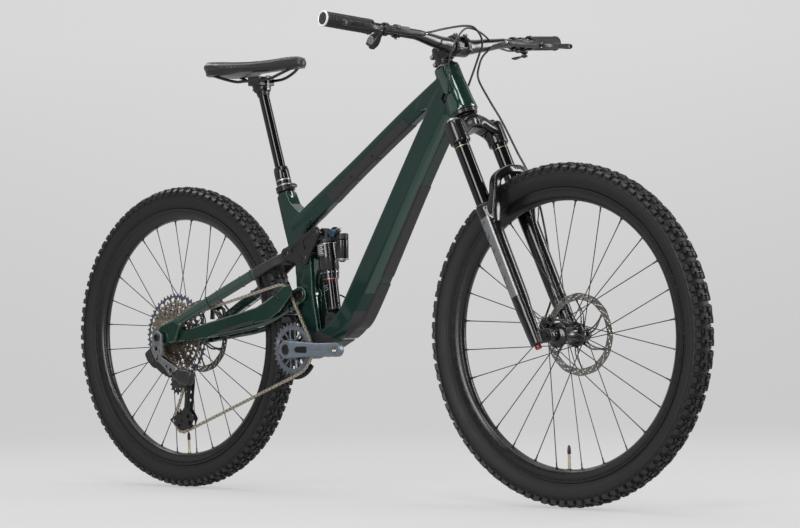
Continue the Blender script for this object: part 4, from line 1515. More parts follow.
# plain pale panels on the legs' outer rear faces (no lettering)
for s, nm in ((-1, "right"), (1, "left")):
    side = (Y * s * 0.86 - N * 0.50).normalized()
    g = patch(LOW, [(steer(0.2980, LF, 0), -S), (steer(0.1080, LF, 0), S), (steer(0, LF, s * 0.040), Y * s),
                    (steer(0.30, LF, s * LY) + (S * 0.8 + N * 0.0).normalized() * 0.0, -S)], 0.00005, 0.00022,
              lambda f: f.normal.dot(side) > 0.50)
    piece("fork_panel_" + nm, g, PANEL, "fork_sliders", angle=60)
    b = B()
    # short dark strokes over the panel, like an abstract pattern
    for k in range(10):
        t = 0.2860 - 0.0165 * k
        wide = 0.42 if k % 3 else 0.62
        mid = 0.10 if k % 2 else -0.16
        rings = []
        for q in range(7):
            a = mid + wide * (q / 6 - 0.5)
            e = side * math.cos(a) + side.cross(S) * math.sin(a)
            c = steer(t + 0.0070 * (q / 6 - 0.5) * (1 if k % 2 else -1), LF, s * LY)
            rr = 0.0206 - 0.0009 * max(0.0, (0.304 - t) / 0.104)
            hs = 0.0030 if k % 3 else 0.0018
            rings.append([c + e * (rr - 0.0006) - S * hs, c + e * (rr + 0.00045) - S * hs,
                          c + e * (rr + 0.00045) + S * hs, c + e * (rr - 0.0006) + S * hs])
        b.loft(rings)
    piece("fork_panel_strokes_" + nm, b, DECAL_D, "fork_sliders")
b = B()
for s in (-1, 1):
    b.turn([(0.0177, 0.3244), (0.0212, 0.3244), (0.0214, 0.3258), (0.0205, 0.3275), (0.0192, 0.3292), (0.0181, 0.3300), (0.0177, 0.3300)],
           steer(0, LF, s * LY), S, 56)
piece("fork_wipers", b, RUBBER, "fork_sliders")
b = B()
b.turn([(0.0, -0.0165), (0.0058, -0.0165), (0.0066, -0.0155), (0.0070, -0.0145), (0.0070, -0.0090), (0.0064, -0.0081), (0.0, -0.0081)],
       steer(0, LF, -0.0680), S, 40)
for k in range(14):
    t = 2 * math.pi * k / 14
    e = N * math.cos(t) + Y * math.sin(t)
    b.block(steer(-0.0118, LF, -0.0680) + e * 0.0069, 0.0005, 0.0008, 0.0030, e, S)
piece("rebound_dial", b, RED, "rebound_knob", ["fork_rebound_knob"])
b = B()
b.tube([steer(-0.0072, LF, 0.0680), steer(-0.0080, LF, 0.0680), steer(-0.0118, LF, 0.0680), steer(-0.0126, LF, 0.0680)],
       [0.0074, 0.0080, 0.0080, 0.0072], 36, Y)
b.ycyl(FRONT, 0.0074, -0.0705, 0.0690, 36)
b.turn([(0.0, -0.0700), (0.0098, -0.0700), (0.0102, -0.0706), (0.0102, -0.0728), (0.0094, -0.0736), (0.0040, -0.0738), (0.0036, -0.0722), (0.0, -0.0722)][::-1],
       FRONT, Y, 40)
b.block(FRONT + Vector((0.0, -0.0755, 0.0)), 0.0040, 0.0022, 0.0028)
piece("front_thru_axle", b, ALLOY, "fork_sliders", ["front_axle"], bevel=0.0003)


def caliper(name, c, rad, along, body, node):
    """Two-piece caliper with pad fin, bolts and banjo."""
    side = rad.cross(along)
    if side.y < 0:
        side = -side
    bits = [one(lambda b: b.tube([c - along * 0.0195, c - along * 0.0120, c + along * 0.0060, c + along * 0.0190],
                                 [(0.0110, 0.0090), (0.0142, 0.0118), (0.0142, 0.0120), (0.0100, 0.0085)], 36, Y, 3.0, smooth=4))]
    for s in (-1, 1):
        bits.append(one(lambda b: b.cyl(c + side * (s * 0.0070) - rad * 0.0005, c + side * (s * 0.0148) - rad * 0.0005, 0.0108, 32, None, 0.0012)))
    cut = [one(lambda b: b.block(c - rad * 0.0110, 0.0400, 0.0019, 0.0170, along, rad))]
    me = fuse(bits, 0.0009, 6, cut, 0.5)
    piece(name + "_body", me, ALLOY, body, [node], angle=42)
    b = B()
    for q in (-0.0120, 0.0050):
        b.cyl(c + along * q + side * 0.0135 + rad * 0.006, c + along * q + side * 0.0158 + rad * 0.006, 0.0034, 20)
    b.cyl(c + rad * 0.0100 - along * 0.0120, c + rad * 0.0146 - along * 0.0120, 0.0044, 24)
    b.tube([c + rad * 0.0120 - along * 0.0120, c + rad * 0.0125 - along * 0.0200], [0.0034, 0.0030], 18, Y)
    for k in range(6):
        b.block(c + rad * 0.0125 + along * (0.0010 + k * 0.0022), 0.0005, 0.0017, 0.0036, along, rad)
    piece(name + "_fittings", b, STEEL, body, bevel=0.0002)


ang = math.radians(168.7)
rad = Vector((math.cos(ang), 0, math.sin(ang)))
FCAL = Vector((FRONT.x, 0, FRONT.z)) + rad * 0.0930 + Y * 0.0445
FAL = Vector((-rad.z, 0, rad.x))
caliper("front_brake", FCAL, rad, FAL, "fork_sliders", "front_caliper")
b = B()
for q in (-0.021, 0.021):
    p = FCAL + FAL * q
    b.tube([p + Y * 0.0030, p + Y * 0.0080 + rad * -0.010, steer((p - A0).dot(S), 0.004, 0.0560)], [0.0058, 0.0052, 0.0060], 20, S)
piece("front_brake_mount", b, GLOSS, "fork_sliders")
ang = math.radians(60)
rad2 = Vector((math.cos(ang), 0, math.sin(ang)))
RCAL = Vector((REAR.x, 0, REAR.z)) + rad2 * 0.0930 + Y * 0.0578
RAL = Vector((rad2.z, 0, -rad2.x))
caliper("rear_brake", RCAL, rad2, RAL, "rear_stays", "rear_caliper")
b = B()
b.tube([RCAL - RAL * 0.0180 + Y * 0.0040, RCAL - RAL * 0.0240 + Y * 0.0120 + rad2 * 0.004, Vector((-0.5750, 0.0700, 0.4140))],
       [0.0050, 0.0050, 0.0060], 20, rad2)
b.tube([RCAL + RAL * 0.0180 + Y * 0.0040, RCAL + RAL * 0.0225 + Y * 0.0140 - rad2 * 0.004, Vector((-0.5300, 0.0720, 0.4080))],
       [0.0050, 0.0046, 0.0060], 20, rad2)
piece("rear_brake_mount", b, ALLOY, "rear_stays")


# ---------------------------------------------------------------- stem, bar, grips
BARC = steer(0.7096, 0.0400)
lo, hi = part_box("stem_faceplate")
BARC = Vector((0.3055, 0.0, 1.0181))
SN = (BARC - steer(0.7096)).normalized()
reach = (BARC - steer(0.7096)).length
bits = [one(lambda b: b.tube([steer(0.6900), steer(0.6920), steer(0.7275), steer(0.7294)], [0.0178, 0.0187, 0.0187, 0.0178], 48, Y)),
        one(lambda b: b.tube([steer(0.7096, 0.0050), steer(0.7096, reach * 0.55), steer(0.7096, reach - 0.012)],
                             [(0.0175, 0.0175), (0.0150, 0.0140), (0.0215, 0.0180)], 40, Y, 3.2, smooth=4)),
        one(lambda b: b.cyl(BARC - Y * 0.0242, BARC + Y * 0.0242, 0.0236, 56, None, 0.0014))]
for s in (-1, 1):
    bits.append(one(lambda b: b.cyl(steer(0.7000, -0.0190, s * 0.0040), steer(0.7000, -0.0190, s * 0.0130), 0.0062, 24)))
    bits.append(one(lambda b: b.cyl(steer(0.7195, -0.0190, s * 0.0040), steer(0.7195, -0.0190, s * 0.0130), 0.0062, 24)))
cuts = [one(lambda b: b.ycyl(BARC, 0.0177, -0.0473, 0.0461, 56)), one(lambda b: b.cyl(steer(0.6800), steer(0.7400), 0.0148, 47)),
        one(lambda b: b.block(steer(0.7096, -0.0250), 0.0120, 0.0009, 0.0300, N, S))]
me = fuse(bits, 0.0011, 7, cuts, 0.5)
for v in me.vertices:
    # flat front face where the faceplate meets it
    d_ = (v.co - steer(0.7096, reach)).dot(N)
    if d_ > -0.0003:
        v.co -= N * (d_ + 0.0003)
piece("stem_body", me, ALLOY, "steering", ["stem"], angle=40)
bits = [one(lambda b: b.cyl(BARC - Y * 0.0240, BARC + Y * 0.0240, 0.0235, 56, None, 0.0014))]
for s in (-1, 1):
    for t in (-0.0180, 0.0180):
        bits.append(one(lambda b: b.cyl(BARC + SN * 0.0040 + S * t + Y * s * 0.0165, BARC + SN * 0.0195 + S * t + Y * s * 0.0165, 0.0056, 24)))
cuts = [one(lambda b: b.ycyl(BARC, 0.0177, -0.04, 0.04, 56)), one(lambda b: b.block(BARC - SN * 0.0397, 0.0400, 0.04, 0.05, N, S)),
        one(lambda b: b.block(BARC + SN * 0.0300, 0.0160, 0.0080, 0.0120, N, S)),
        one(lambda b: b.block(BARC + SN * 0.0230, 0.0040, 0.0110, 0.0300, N, S))]
me = fuse(bits, 0.0010, 6, cuts, 0.5)
piece("stem_faceplate_body", me, ALLOY, "steering", ["stem_faceplate"], angle=40)
b = B()
for s in (-1, 1):
    for t in (-0.0180, 0.0180):
        p = BARC + S * t + Y * s * 0.0165
        b.cyl(p + SN * 0.0180, p + SN * 0.0222, 0.0040, 20, None, 0.0005)
    for t in (0.7000, 0.7195):
        b.cyl(steer(t, -0.0190, s * 0.0125), steer(t, -0.0190, s * 0.0150), 0.0042, 20, None, 0.0005)
piece("stem_bolts", b, STEEL, "steering")
b = B()
b.turn([(0.0, 0.7300), (0.0176, 0.7300), (0.0180, 0.7306), (0.0176, 0.7330), (0.0150, 0.7352), (0.0092, 0.7358), (0.0086, 0.7340), (0.0, 0.7340)], A0, S, 56)
b.turn([(0.0, 0.7340), (0.0052, 0.7340), (0.0052, 0.7362), (0.0030, 0.7366), (0.0026, 0.7350), (0.0, 0.7350)], A0, S, 32)
piece("stem_top_cap", b, ALLOY, "steering", ["headset_top_cap"])


def bar(y):
    d = abs(y) - 0.27
    return Vector((0.290 - 0.1667 * d, y, 1.044 + 0.0833 * d))


def bdir(s):
    return Vector((-0.1667, s, 0.0833)).normalized()


b = B()
b.tube([bar(-0.3965), bar(-0.34), bar(-0.27), bar(-0.20), bar(-0.16), bar(-0.145), Vector((BARC.x + 0.002, -0.075, 1.0235)), BARC - Y * 0.030,
        BARC, BARC + Y * 0.030, Vector((BARC.x + 0.002, 0.075, 1.0235)), bar(0.145), bar(0.16), bar(0.20), bar(0.27), bar(0.34), bar(0.3965)],
       [0.0111] * 5 + [0.0116, 0.0150, 0.0175, 0.0175, 0.0175, 0.0150, 0.0116] + [0.0111] * 5, 40, Z, smooth=6)
piece("handlebar_tube", b, GLOSS, "steering", ["handlebar"])
b = B()
for s in (-1, 1):
    for d in (0.046, 0.060):
        q = BARC + Y * (s * d)
# clamp index lines near the stem and pale end marks
for s in (-1, 1):
    for y in (0.0275, 0.0300):
        b.cyl(Vector((BARC.x, s * y, BARC.z)), Vector((BARC.x, s * (y + 0.0006), BARC.z)), 0.01765, 40)
piece("bar_marks", b, DECAL, "steering")

for s, side in ((-1, "right"), (1, "left")):
    o, dr = bar(s * 0.27), bdir(s)
    u = (X - dr * X.dot(dr)).normalized()
    v = dr.cross(u)
    # rubber sleeve with waffle ribs above and long pads below, flared at the inner end
    nt, nl, rings = 96, 120, []
    for i in range(nl + 1):
        t = i / nl
        d = 0.0085 + t * (0.1265 - 0.0085)
        base = 0.01575 + 0.0012 * math.exp(-((t - 0.02) / 0.05) ** 2) + 0.0007 * math.exp(-((t - 1.0) / 0.04) ** 2) + 0.0003 * math.sin(t * math.pi)
        fade = min(1, max(0, (t - 0.05) / 0.04)) * min(1, max(0, (0.97 - t) / 0.03))
        ring = []
        for j in range(nt):
            a = 2 * math.pi * j / nt
            w = math.sin(a * 8 + t * 46) * math.sin(a * 8 - t * 46)
            waf = 0.00052 * (1 if w > 0.10 else -1 if w < -0.10 else w * 10)
            rib = 0.0005 * (1 if math.sin(t * 88) > 0.1 else -1 if math.sin(t * 88) < -0.1 else 0)
            mixk = 0.5 + 0.5 * math.tanh(3 * math.sin(a + 0.6))
            r = base + fade * (waf * mixk + rib * (1 - mixk))
            ring.append(o + dr * d + u * (r * math.cos(a)) + v * (r * math.sin(a)))
        rings.append(ring)
    inner = [[o + dr * d + u * (0.0118 * math.cos(2 * math.pi * j / nt)) + v * (0.0118 * math.sin(2 * math.pi * j / nt)) for j in range(nt)]
             for d in (0.1265, 0.0085)]
    b = B()
    b.loft(rings + inner, loop=True)
    piece("grip_%s_sleeve" % side, b, RUBBER, "steering", ["grip_" + side], angle=50)
    b = B()
    b.turn([(0.0118, 0.0), (0.0160, 0.0), (0.0166, 0.0008), (0.0166, 0.0078), (0.0160, 0.0086), (0.0118, 0.0086)], o, dr, 56)
    b.cyl(o + dr * 0.0043 - v * 0.0150 - u * 0.0040, o + dr * 0.0043 - v * 0.0150 + u * 0.0060, 0.0030, 20)
    piece("grip_%s_clamp" % side, b, ALLOY, "steering", bevel=0.0003)
    b = B()
    b.turn([(0.0134, 0.1262), (0.0170, 0.1262), (0.0174, 0.1270), (0.0174, 0.1284), (0.0167, 0.1296), (0.0146, 0.1300), (0.0138, 0.1292), (0.0134, 0.1290)],
           o, dr, 56)
    piece("grip_%s_end_ring" % side, b, WHITE if s < 0 else PLASTIC_G, "steering")
    b = B()
    b.turn([(0.0, 0.1262), (0.0135, 0.1262), (0.0135, 0.1286), (0.0120, 0.1291), (0.0070, 0.1288), (0.0062, 0.1276), (0.0, 0.1276)], o, dr, 40)
    piece("grip_%s_end_plug" % side, b, PLASTIC_G, "steering")
    # brake lever: reservoir body, clamp, reach dial, blade
    c = bar(s * 0.200)
    lin, lout = Vector((0.3315, s * 0.160, 1.0345)), Vector((0.3240, s * 0.262, 1.0370))
    md = lin.lerp(lout, 0.42)
    bits = [one(lambda b: b.turn([(0.0112, -0.0062), (0.0148, -0.0062), (0.0152, -0.0056), (0.0152, 0.0056), (0.0148, 0.0062), (0.0112, 0.0062)][::int(1)],
                                 c, dr, 48)),
            one(lambda b: b.tube([lin - Y * (s * 0.020), lin - Y * (s * 0.016), lin, md, md.lerp(lout, 0.6), lout - Y * s * 0.004, lout],
                                 [(0.0046, 0.0046), (0.0056, 0.0056), (0.0070, 0.0068), (0.0084, 0.0080), (0.0074, 0.0068), (0.0074, 0.0058), (0.0058, 0.0054)],
                                 36, Z, 2.4, smooth=4)),
            one(lambda b: b.block(c.lerp(md, 0.56), 0.0090, 0.0060, 0.0055, md - c, Z)),
            one(lambda b: b.tube([md + Vector((0, -s * 0.010, 0.006)), md + Vector((0.001, s * 0.030, 0.0065))], [(0.0070, 0.0040), (0.0062, 0.0036)], 24, X, 3.4))]
    me = fuse(bits, 0.0009, 7, [one(lambda b: b.cyl(c - dr * 0.02, c + dr * 0.02, 0.0113, 48))], 0.5)
    piece("brake_body_%s_cast" % side, me, PLASTIC, "steering", ["brake_lever_body_" + side], angle=40)
    b = B()
    q = lin - Y * (s * 0.018)
    b.cyl(q, q - Y * (s * 0.0080) + Z * 0.0004, 0.0042, 24, 0.0034)
    b.cyl(md + Vector((0.0005, s * 0.018, 0.0098)), md + Vector((0.0005, s * 0.018, 0.0112)), 0.0026, 18)
    b.cyl(md + Vector((0.0, -s * 0.004, 0.0098)), md + Vector((0.0, -s * 0.004, 0.0110)), 0.0022, 18)
    b.cyl(c - Z * 0.0152 + X * 0.004, c - Z * 0.0152 - X * 0.004, 0.0026, 18)
    piece("brake_body_%s_fittings" % side, b, STEEL, "steering", bevel=0.0002)
    h = Vector((0.3250, s * 0.2745, 1.0370))
    b = B()
    b.tube([h + Vector((0.0, -s * 0.0030, 0)), h + Vector((0.0025, s * 0.010, 0)), h + Vector((0.0042, s * 0.028, 0.0006)), h + Vector((0.0024, s * 0.052, 0.0020)),
            h + Vector((-0.0015, s * 0.082, 0.0036)), h + Vector((-0.0040, s * 0.104, 0.0049)), h + Vector((-0.0030, s * 0.112, 0.0053)), h + Vector((0.0002, s * 0.1165, 0.0056))],
           [(0.0044, 0.0036), (0.0056, 0.0036), (0.0062, 0.0034), (0.0058, 0.0032), (0.0060, 0.0030), (0.0066, 0.0031), (0.0062, 0.0031), (0.0036, 0.0026)],
           28, Z, 2.6, smooth=5)
    piece("brake_blade_%s_forged" % side, b, ALLOY, "brake_blade_" + side, ["brake_lever_" + side], angle=50)
    b = B()
    b.cyl(h - Z * 0.0056, h + Z * 0.0056, 0.0030, 24)
    b.cyl(h + Vector((0.0022, s * 0.0160, -0.0044)), h + Vector((0.0022, s * 0.0160, 0.0044)), 0.0019, 16)
    piece("brake_blade_%s_pin" % side, b, STEEL, "brake_blade_" + side)

# shift pod under the right bar
c = bar(-0.232)
pod = c + Vector((-0.030, 0.002, -0.018))
bits = [one(lambda b: b.turn([(0.0112, -0.0052), (0.0148, -0.0052), (0.0150, 0.0), (0.0148, 0.0052), (0.0112, 0.0052)], c, bdir(-1), 48)),
        one(lambda b: b.tube([c + Vector((-0.0128, 0, -0.004)), c + Vector((-0.020, 0.001, -0.010)), pod, pod + Vector((-0.0060, 0, -0.0060)), pod + Vector((-0.0120, 0, -0.0120))],
                             [(0.0050, 0.0070), (0.0075, 0.0095), (0.0112, 0.0132), (0.0116, 0.0138), (0.0098, 0.0126)], 36, Y, 2.7, smooth=4))]
me = fuse(bits, 0.0008, 7, [one(lambda b: b.cyl(c - bdir(-1) * 0.02, c + bdir(-1) * 0.02, 0.0113, 48))], 0.5)
piece("shift_pod_shell", me, PLASTIC, "steering", ["shifter_pod"], angle=45)
PADN, PADU = Vector((-0.7071, 0, -0.7071)), Vector((-0.7071, 0, 0.7071))
pad0 = pod + Vector((-0.012, 0.0, -0.012)) + PADN * 0.0030
b = B()
f0 = pod + Vector((0.0068, -0.0095, -0.0015))
b.cyl(pod - Y * 0.0108 + Vector((-0.003, 0, -0.004)), pod - Y * 0.0128 + Vector((-0.003, 0, -0.004)), 0.0094, 40, 0.0086)
piece("shift_pod_cover", b, GREY, "steering", bevel=0.0003)
for k, nm in ((1, "upper"), (-1, "lower")):
    q = pad0 + PADU * (k * 0.0056)
    b = B()
    b.tube([q - PADN * 0.0022, q - PADN * 0.0004, q + PADN * 0.0016, q + PADN * 0.0024], [(0.0078, 0.0047), (0.0080, 0.0049), (0.0078, 0.0047), (0.0066, 0.0036)], 28, Y, 3.6)
    for j in range(4):
        b.tube([q + PADN * 0.0022 + Y * (-0.0042 + 0.0028 * j) - PADU * 0.0026, q + PADN * 0.0022 + Y * (-0.0042 + 0.0028 * j) + PADU * 0.0026], 0.0005, 8, Y)
    piece("shift_pad_" + nm, b, PLASTIC_G, "shift_up" if nm == "upper" else "shift_down", ["shift_button_" + nm])
# dropper remote under the left bar
c = bar(0.236)
h = Vector((c.x + 0.010, c.y, c.z - 0.0275))
bits = [one(lambda b: b.turn([(0.0112, -0.0052), (0.0144, -0.0052), (0.0147, 0.0), (0.0144, 0.0052), (0.0112, 0.0052)], c, bdir(1), 48)),
        one(lambda b: b.ycyl((c.x + 0.010, 0, c.z - 0.0185), 0.0082, c.y - 0.0050, c.y + 0.0050, 36, 0.0008)),
        one(lambda b: b.tube([Vector((c.x + 0.012, c.y + 0.002, c.z - 0.0190)), Vector((c.x + 0.010, c.y - 0.018, c.z - 0.0195))], [(0.0052, 0.0052), (0.0040, 0.0040)], 24, Z))]
me = fuse(bits, 0.0008, 6, [one(lambda b: b.cyl(c - bdir(1) * 0.02, c + bdir(1) * 0.02, 0.0113, 48))], 0.5)
piece("remote_perch", me, ALLOY, "steering", ["dropper_remote_clamp"], angle=42)
b = B()
bx = Vector((c.x + 0.0095, c.y - 0.017, c.z - 0.0195))
b.tube([bx, bx - Y * 0.0030, bx - Y * 0.0110, bx - Y * 0.0120, bx - Y * 0.0175], [0.0040, 0.0044, 0.0042, 0.0032, 0.0029], 24, Z)
for k in range(12):
    t = 2 * math.pi * k / 12
    e = X * math.cos(t) + Z * math.sin(t)
    b.block(bx - Y * 0.0070 + e * 0.0043, 0.0004, 0.0006, 0.0035, e, Y)
piece("remote_barrel", b, PLASTIC, "steering")
b = B()
b.cyl(h, h - Z * 0.0050, 0.0075, 40, None, 0.0006)
b.tube([h - Z * 0.0027, h + Vector((-0.010, 0.003, -0.0030)), h + Vector((-0.022, 0.004, -0.0038)), h + Vector((-0.033, 0.004, -0.0055)), h + Vector((-0.0355, 0.004, -0.0058))],
       [(0.0052, 0.0021), (0.0054, 0.0020), (0.0074, 0.0021), (0.0096, 0.0022), (0.0080, 0.0014)], 28, Y, 3.0, smooth=4)
for k in range(5):
    q = h + Vector((-0.0215 - 0.0028 * k, 0.004, -0.0060 - 0.0004 * k))
    b.tube([q - Y * 0.0052, q + Y * 0.0052], 0.0007, 8, Z)
b.cyl(h - Z * 0.0048, h - Z * 0.0066, 0.0038, 20)
piece("remote_paddle", b, ALLOY, "dropper_paddle", ["dropper_lever"], angle=45)

# ---------------------------------------------------------------- post and saddle
p0 = SEAT_C
zo = lambda z: (z - SEAT_C.z) / SEAT_D.z
b = B()
b.turn([(0.0136, zo(0.535)), (0.0157, zo(0.535)), (0.0159, zo(0.537)), (0.0159, zo(0.7340)), (0.0136, zo(0.7340))], p0, SEAT_D, 64)
b.turn([(0.0136, zo(0.7340)), (0.0176, zo(0.7340)), (0.0184, zo(0.7350)), (0.0184, zo(0.7400)), (0.0178, zo(0.7408)), (0.0178, zo(0.7440)),
        (0.0183, zo(0.7448)), (0.0183, zo(0.7660)), (0.0177, zo(0.7690)), (0.0166, zo(0.7740)), (0.0150, zo(0.7752)), (0.0136, zo(0.7752))], p0, SEAT_D, 72)
piece("post_outer_sleeve", b, GLOSS, "frame", ["seatpost_outer"])
b = B()
b.turn([(0.0180, zo(0.7410)), (0.01865, zo(0.7414)), (0.01865, zo(0.7438)), (0.0180, zo(0.7442))], p0, SEAT_D, 64)
b.turn([(0.0162, zo(0.7300)), (0.0166, zo(0.7302)), (0.0166, zo(0.7330)), (0.0162, zo(0.7334))], p0, SEAT_D, 64)
piece("post_collar_ring", b, GREY, "frame")
top = seat(0.9600)
b = B()
b.cyl(seat(0.7250), top, 0.0130, 64)
piece("post_inner_tube", b, STANCH, "seat", ["seatpost_inner"])
cl = top + SEAT_D * 0.0195
bits = [one(lambda b: b.tube([top - SEAT_D * 0.0120, top - SEAT_D * 0.0020, top + SEAT_D * 0.0100, top + SEAT_D * 0.0190], [(0.0132, 0.0132), (0.0140, 0.0150), (0.0200, 0.0150), (0.0240, 0.0190)],
                             36, Y, 2.8, smooth=3)),
        one(lambda b: b.ycyl(top + SEAT_D * 0.010, 0.0142, -0.0180, 0.0180, 40, 0.0010)),
        one(lambda b: b.block(cl, 0.0200, 0.0250, 0.0044))]
me = fuse(bits, 0.0010, 6, (), 0.5)
piece("post_head", me, ALLOY, "seat", angle=40)
b = B()
for fx in (-0.0240, 0.0240):
    q = cl + X * fx
    b.cyl(q - Z * 0.0120, q + Z * 0.0165, 0.0026, 20)
    b.cyl(q - Z * 0.0150, q - Z * 0.0105, 0.0044, 24, None, 0.0005)
    b.cyl(q + Z * 0.0150 - Y * 0.0060, q + Z * 0.0150 + Y * 0.0060, 0.0044, 24)
piece("post_head_bolts", b, STEEL, "seat")
RAIL_Y, RAIL_Z = 0.0220, cl.z + 0.0085
b = B()
for s in (-1, 1):
    b.tube([(cl.x - 0.135, s * 0.046, RAIL_Z + 0.026), (cl.x - 0.105, s * 0.044, RAIL_Z + 0.014), (cl.x - 0.060, s * 0.030, RAIL_Z + 0.0005),
            (cl.x - 0.035, s * 0.0220, RAIL_Z), (cl.x + 0.045, s * 0.0220, RAIL_Z), (cl.x + 0.090, s * 0.018, RAIL_Z + 0.012),
            (cl.x + 0.120, s * 0.008, RAIL_Z + 0.024)], 0.0036, 20, Z, smooth=5)
b.tube([(cl.x + 0.119, -0.0120, RAIL_Z + 0.0235), (cl.x + 0.119, 0.0120, RAIL_Z + 0.0235)], 0.0036, 20, Z)
piece("saddle_rail_pair", b, GLOSS, "seat", ["saddle_rails"])
b = B()
for dz, hz in ((0.0098, 0.0040), (0.0155, 0.0022)):
    b.tube([Vector((cl.x, -0.0265, cl.z + dz)), Vector((cl.x, 0.0265, cl.z + dz))], [(0.0190, hz), (0.0190, hz)], 28, X, 4.0)
for s in (-1, 1):
    b.tube([Vector((cl.x - 0.018, s * RAIL_Y, RAIL_Z)), Vector((cl.x + 0.018, s * RAIL_Y, RAIL_Z))], [(0.0052, 0.0064)] * 2, 24, Y, 3.0)
piece("saddle_clamp", b, ALLOY, "seat", bevel=0.0004)

ST = [(-0.4640, 0.040, 1.0350), (-0.4590, 0.056, 1.0388), (-0.4500, 0.0660, 1.0408), (-0.4350, 0.0712, 1.0408), (-0.4200, 0.0712, 1.0398), (-0.4000, 0.0680, 1.0380),
      (-0.3800, 0.0600, 1.0365), (-0.3550, 0.0480, 1.0355), (-0.3300, 0.0380, 1.0350), (-0.3000, 0.0290, 1.0353), (-0.2700, 0.0236, 1.0360), (-0.2400, 0.0214, 1.0372),
      (-0.2150, 0.0202, 1.0382), (-0.1950, 0.0185, 1.0368), (-0.1820, 0.0155, 1.0340), (-0.1735, 0.0100, 1.0290)]


def saddle_ring(x, w, z, zb, grow=0.0):
    ring = []
    n = 40
    for i in range(n):
        t = 2 * math.pi * i / n
        cs, sn = math.cos(t), math.sin(t)
        y = w * math.copysign(abs(cs) ** 0.62, cs)
        if sn >= 0:
            top_z = z - 0.0045 * (abs(y) / w) ** 2
            chan = 0.0030 * math.exp(-(y / 0.0085) ** 2) * min(1, max(0, (x + 0.455) / 0.03)) * min(1, max(0, (-0.205 - x) / 0.03))
            zz = (z - 0.017) + (top_z - chan - (z - 0.017)) * abs(sn) ** 0.55
        else:
            zz = (z - 0.017) + (zb - (z - 0.017)) * abs(sn) ** 0.8
            y *= 1 - 0.14 * abs(sn)
        ring.append(Vector((x, y, zz)))
    return ring


b = B()
b.loft([saddle_ring(x, w, z, 1.0075 if x < -0.36 else 1.0105) for x, w, z in ST])
me = b.mesh("saddle_pad")
pad = bpy.data.objects.new("saddle_pad", me)
bpy.context.scene.collection.objects.link(pad)
m = pad.modifiers.new("r", "REMESH")
m.mode, m.voxel_size = "VOXEL", 0.0045
s_ = pad.modifiers.new("s", "SMOOTH")
s_.factor, s_.iterations = 0.5, 3
apply_mods(pad)
vg = pad.vertex_groups.new(name="pin")
for v in pad.data.vertices:
    low = max(0.0, min(1.0, (1.0190 - v.co.z) / 0.006))
    vg.add([v.index], max(low, 0.55), "REPLACE")
cm = pad.modifiers.new("cloth", "CLOTH")
st = cm.settings
st.quality, st.mass = 6, 0.3
st.tension_stiffness = st.compression_stiffness = 40
st.shear_stiffness, st.bending_stiffness = 20, 8
st.use_pressure, st.uniform_pressure_force = True, 4.0
st.vertex_group_mass = "pin"
st.pin_stiffness = 3.0
st.effector_weights.gravity = 0.0
bpy.context.scene.gravity = (0, 0, 0)
cm.point_cache.frame_start, cm.point_cache.frame_end = 1, 20
for f in range(1, 21):
    bpy.context.scene.frame_set(f)
    bpy.context.evaluated_depsgraph_get().update()
apply_mods(pad)
bpy.context.scene.frame_set(1)
PADM = pad.data.copy()
bpy.data.objects.remove(pad, do_unlink=True)
PADM.transform(Matrix.Identity(4))
ob = piece("saddle_cover", PADM, SADDLE, "seat", ["saddle"], angle=60, sub=1, sharp=False)
b = B()
rings = []
for x, w, z in ST[1:-1]:
    ww, zb = w * 0.90, (1.0040 if x < -0.36 else 1.0075)
    rings.append([Vector((x, y * ww, zz)) for y, zz in ((-1.0, zb + 0.0120), (-0.94, zb + 0.0015), (-0.80, zb), (0.80, zb), (0.94, zb + 0.0015), (1.0, zb + 0.0120))])
b.loft(rings)
piece("saddle_base", b, PLASTIC, "seat", angle=30)
# stitched seam lines either side of the top panel
b = B()
for s in (-1, 1):
    pts = []
    for x, w, z in ST[1:-1]:
        pts.append(Vector((x, s * w * 0.80, z - 0.0045 * 0.64 - 0.0010)))
    b.tube(pts, 0.0008, 8, Z, smooth=3)
piece("saddle_piping", b, SADDLE, "seat")


# ---------------------------------------------------------------- derailleur
P1, P2 = Vector((-0.5970, 0, 0.3200)), Vector((-0.5400, 0, 0.2850))
b = B()
b.plate([(-0.6155, 0.3740), (-0.6130, 0.3815), (-0.6065, 0.3870), (-0.5985, 0.3880), (-0.5905, 0.3850), (-0.5855, 0.3790),
         (-0.5835, 0.3700), (-0.5836, 0.3560), (-0.5850, 0.3380), (-0.5905, 0.3200), (-0.5985, 0.3130), (-0.6055, 0.3165),
         (-0.6150, 0.3300), (-0.6215, 0.3420), (-0.6190, 0.3560)], -0.0958, -0.0880,
        [(-0.6045, 0.3455, 0.0062), (-0.5990, 0.3260, 0.0030), (-0.5925, 0.3390, 0.0022), (REAR.x, REAR.z, 0.0068)])
piece("mech_mount_plate", b, GREY, "rear_stays", ["derailleur_mount"], bevel=0.0009, segs=3)
b = B()
b.turn([(0.0, -0.0900), (0.0088, -0.0900), (0.0098, -0.0940), (0.0100, -0.0970), (0.0092, -0.0980), (0.0050, -0.0980), (0.0044, -0.0955), (0.0, -0.0955)][::-1],
       REAR, Y, 40)
for k in range(8):
    t = 2 * math.pi * k / 8
    e = Vector((math.cos(t), 0, math.sin(t)))
    b.block(Vector((REAR.x, -0.0972, REAR.z)) + e * 0.0074, 0.0012, 0.0010, 0.0010, e, Y)
b.turn([(0.0068, -0.0838), (0.0120, -0.0838), (0.0120, -0.0885), (0.0068, -0.0885)][::-1], REAR, Y, 36)
piece("mech_mount_bolt", b, ALLOY, "rear_stays")
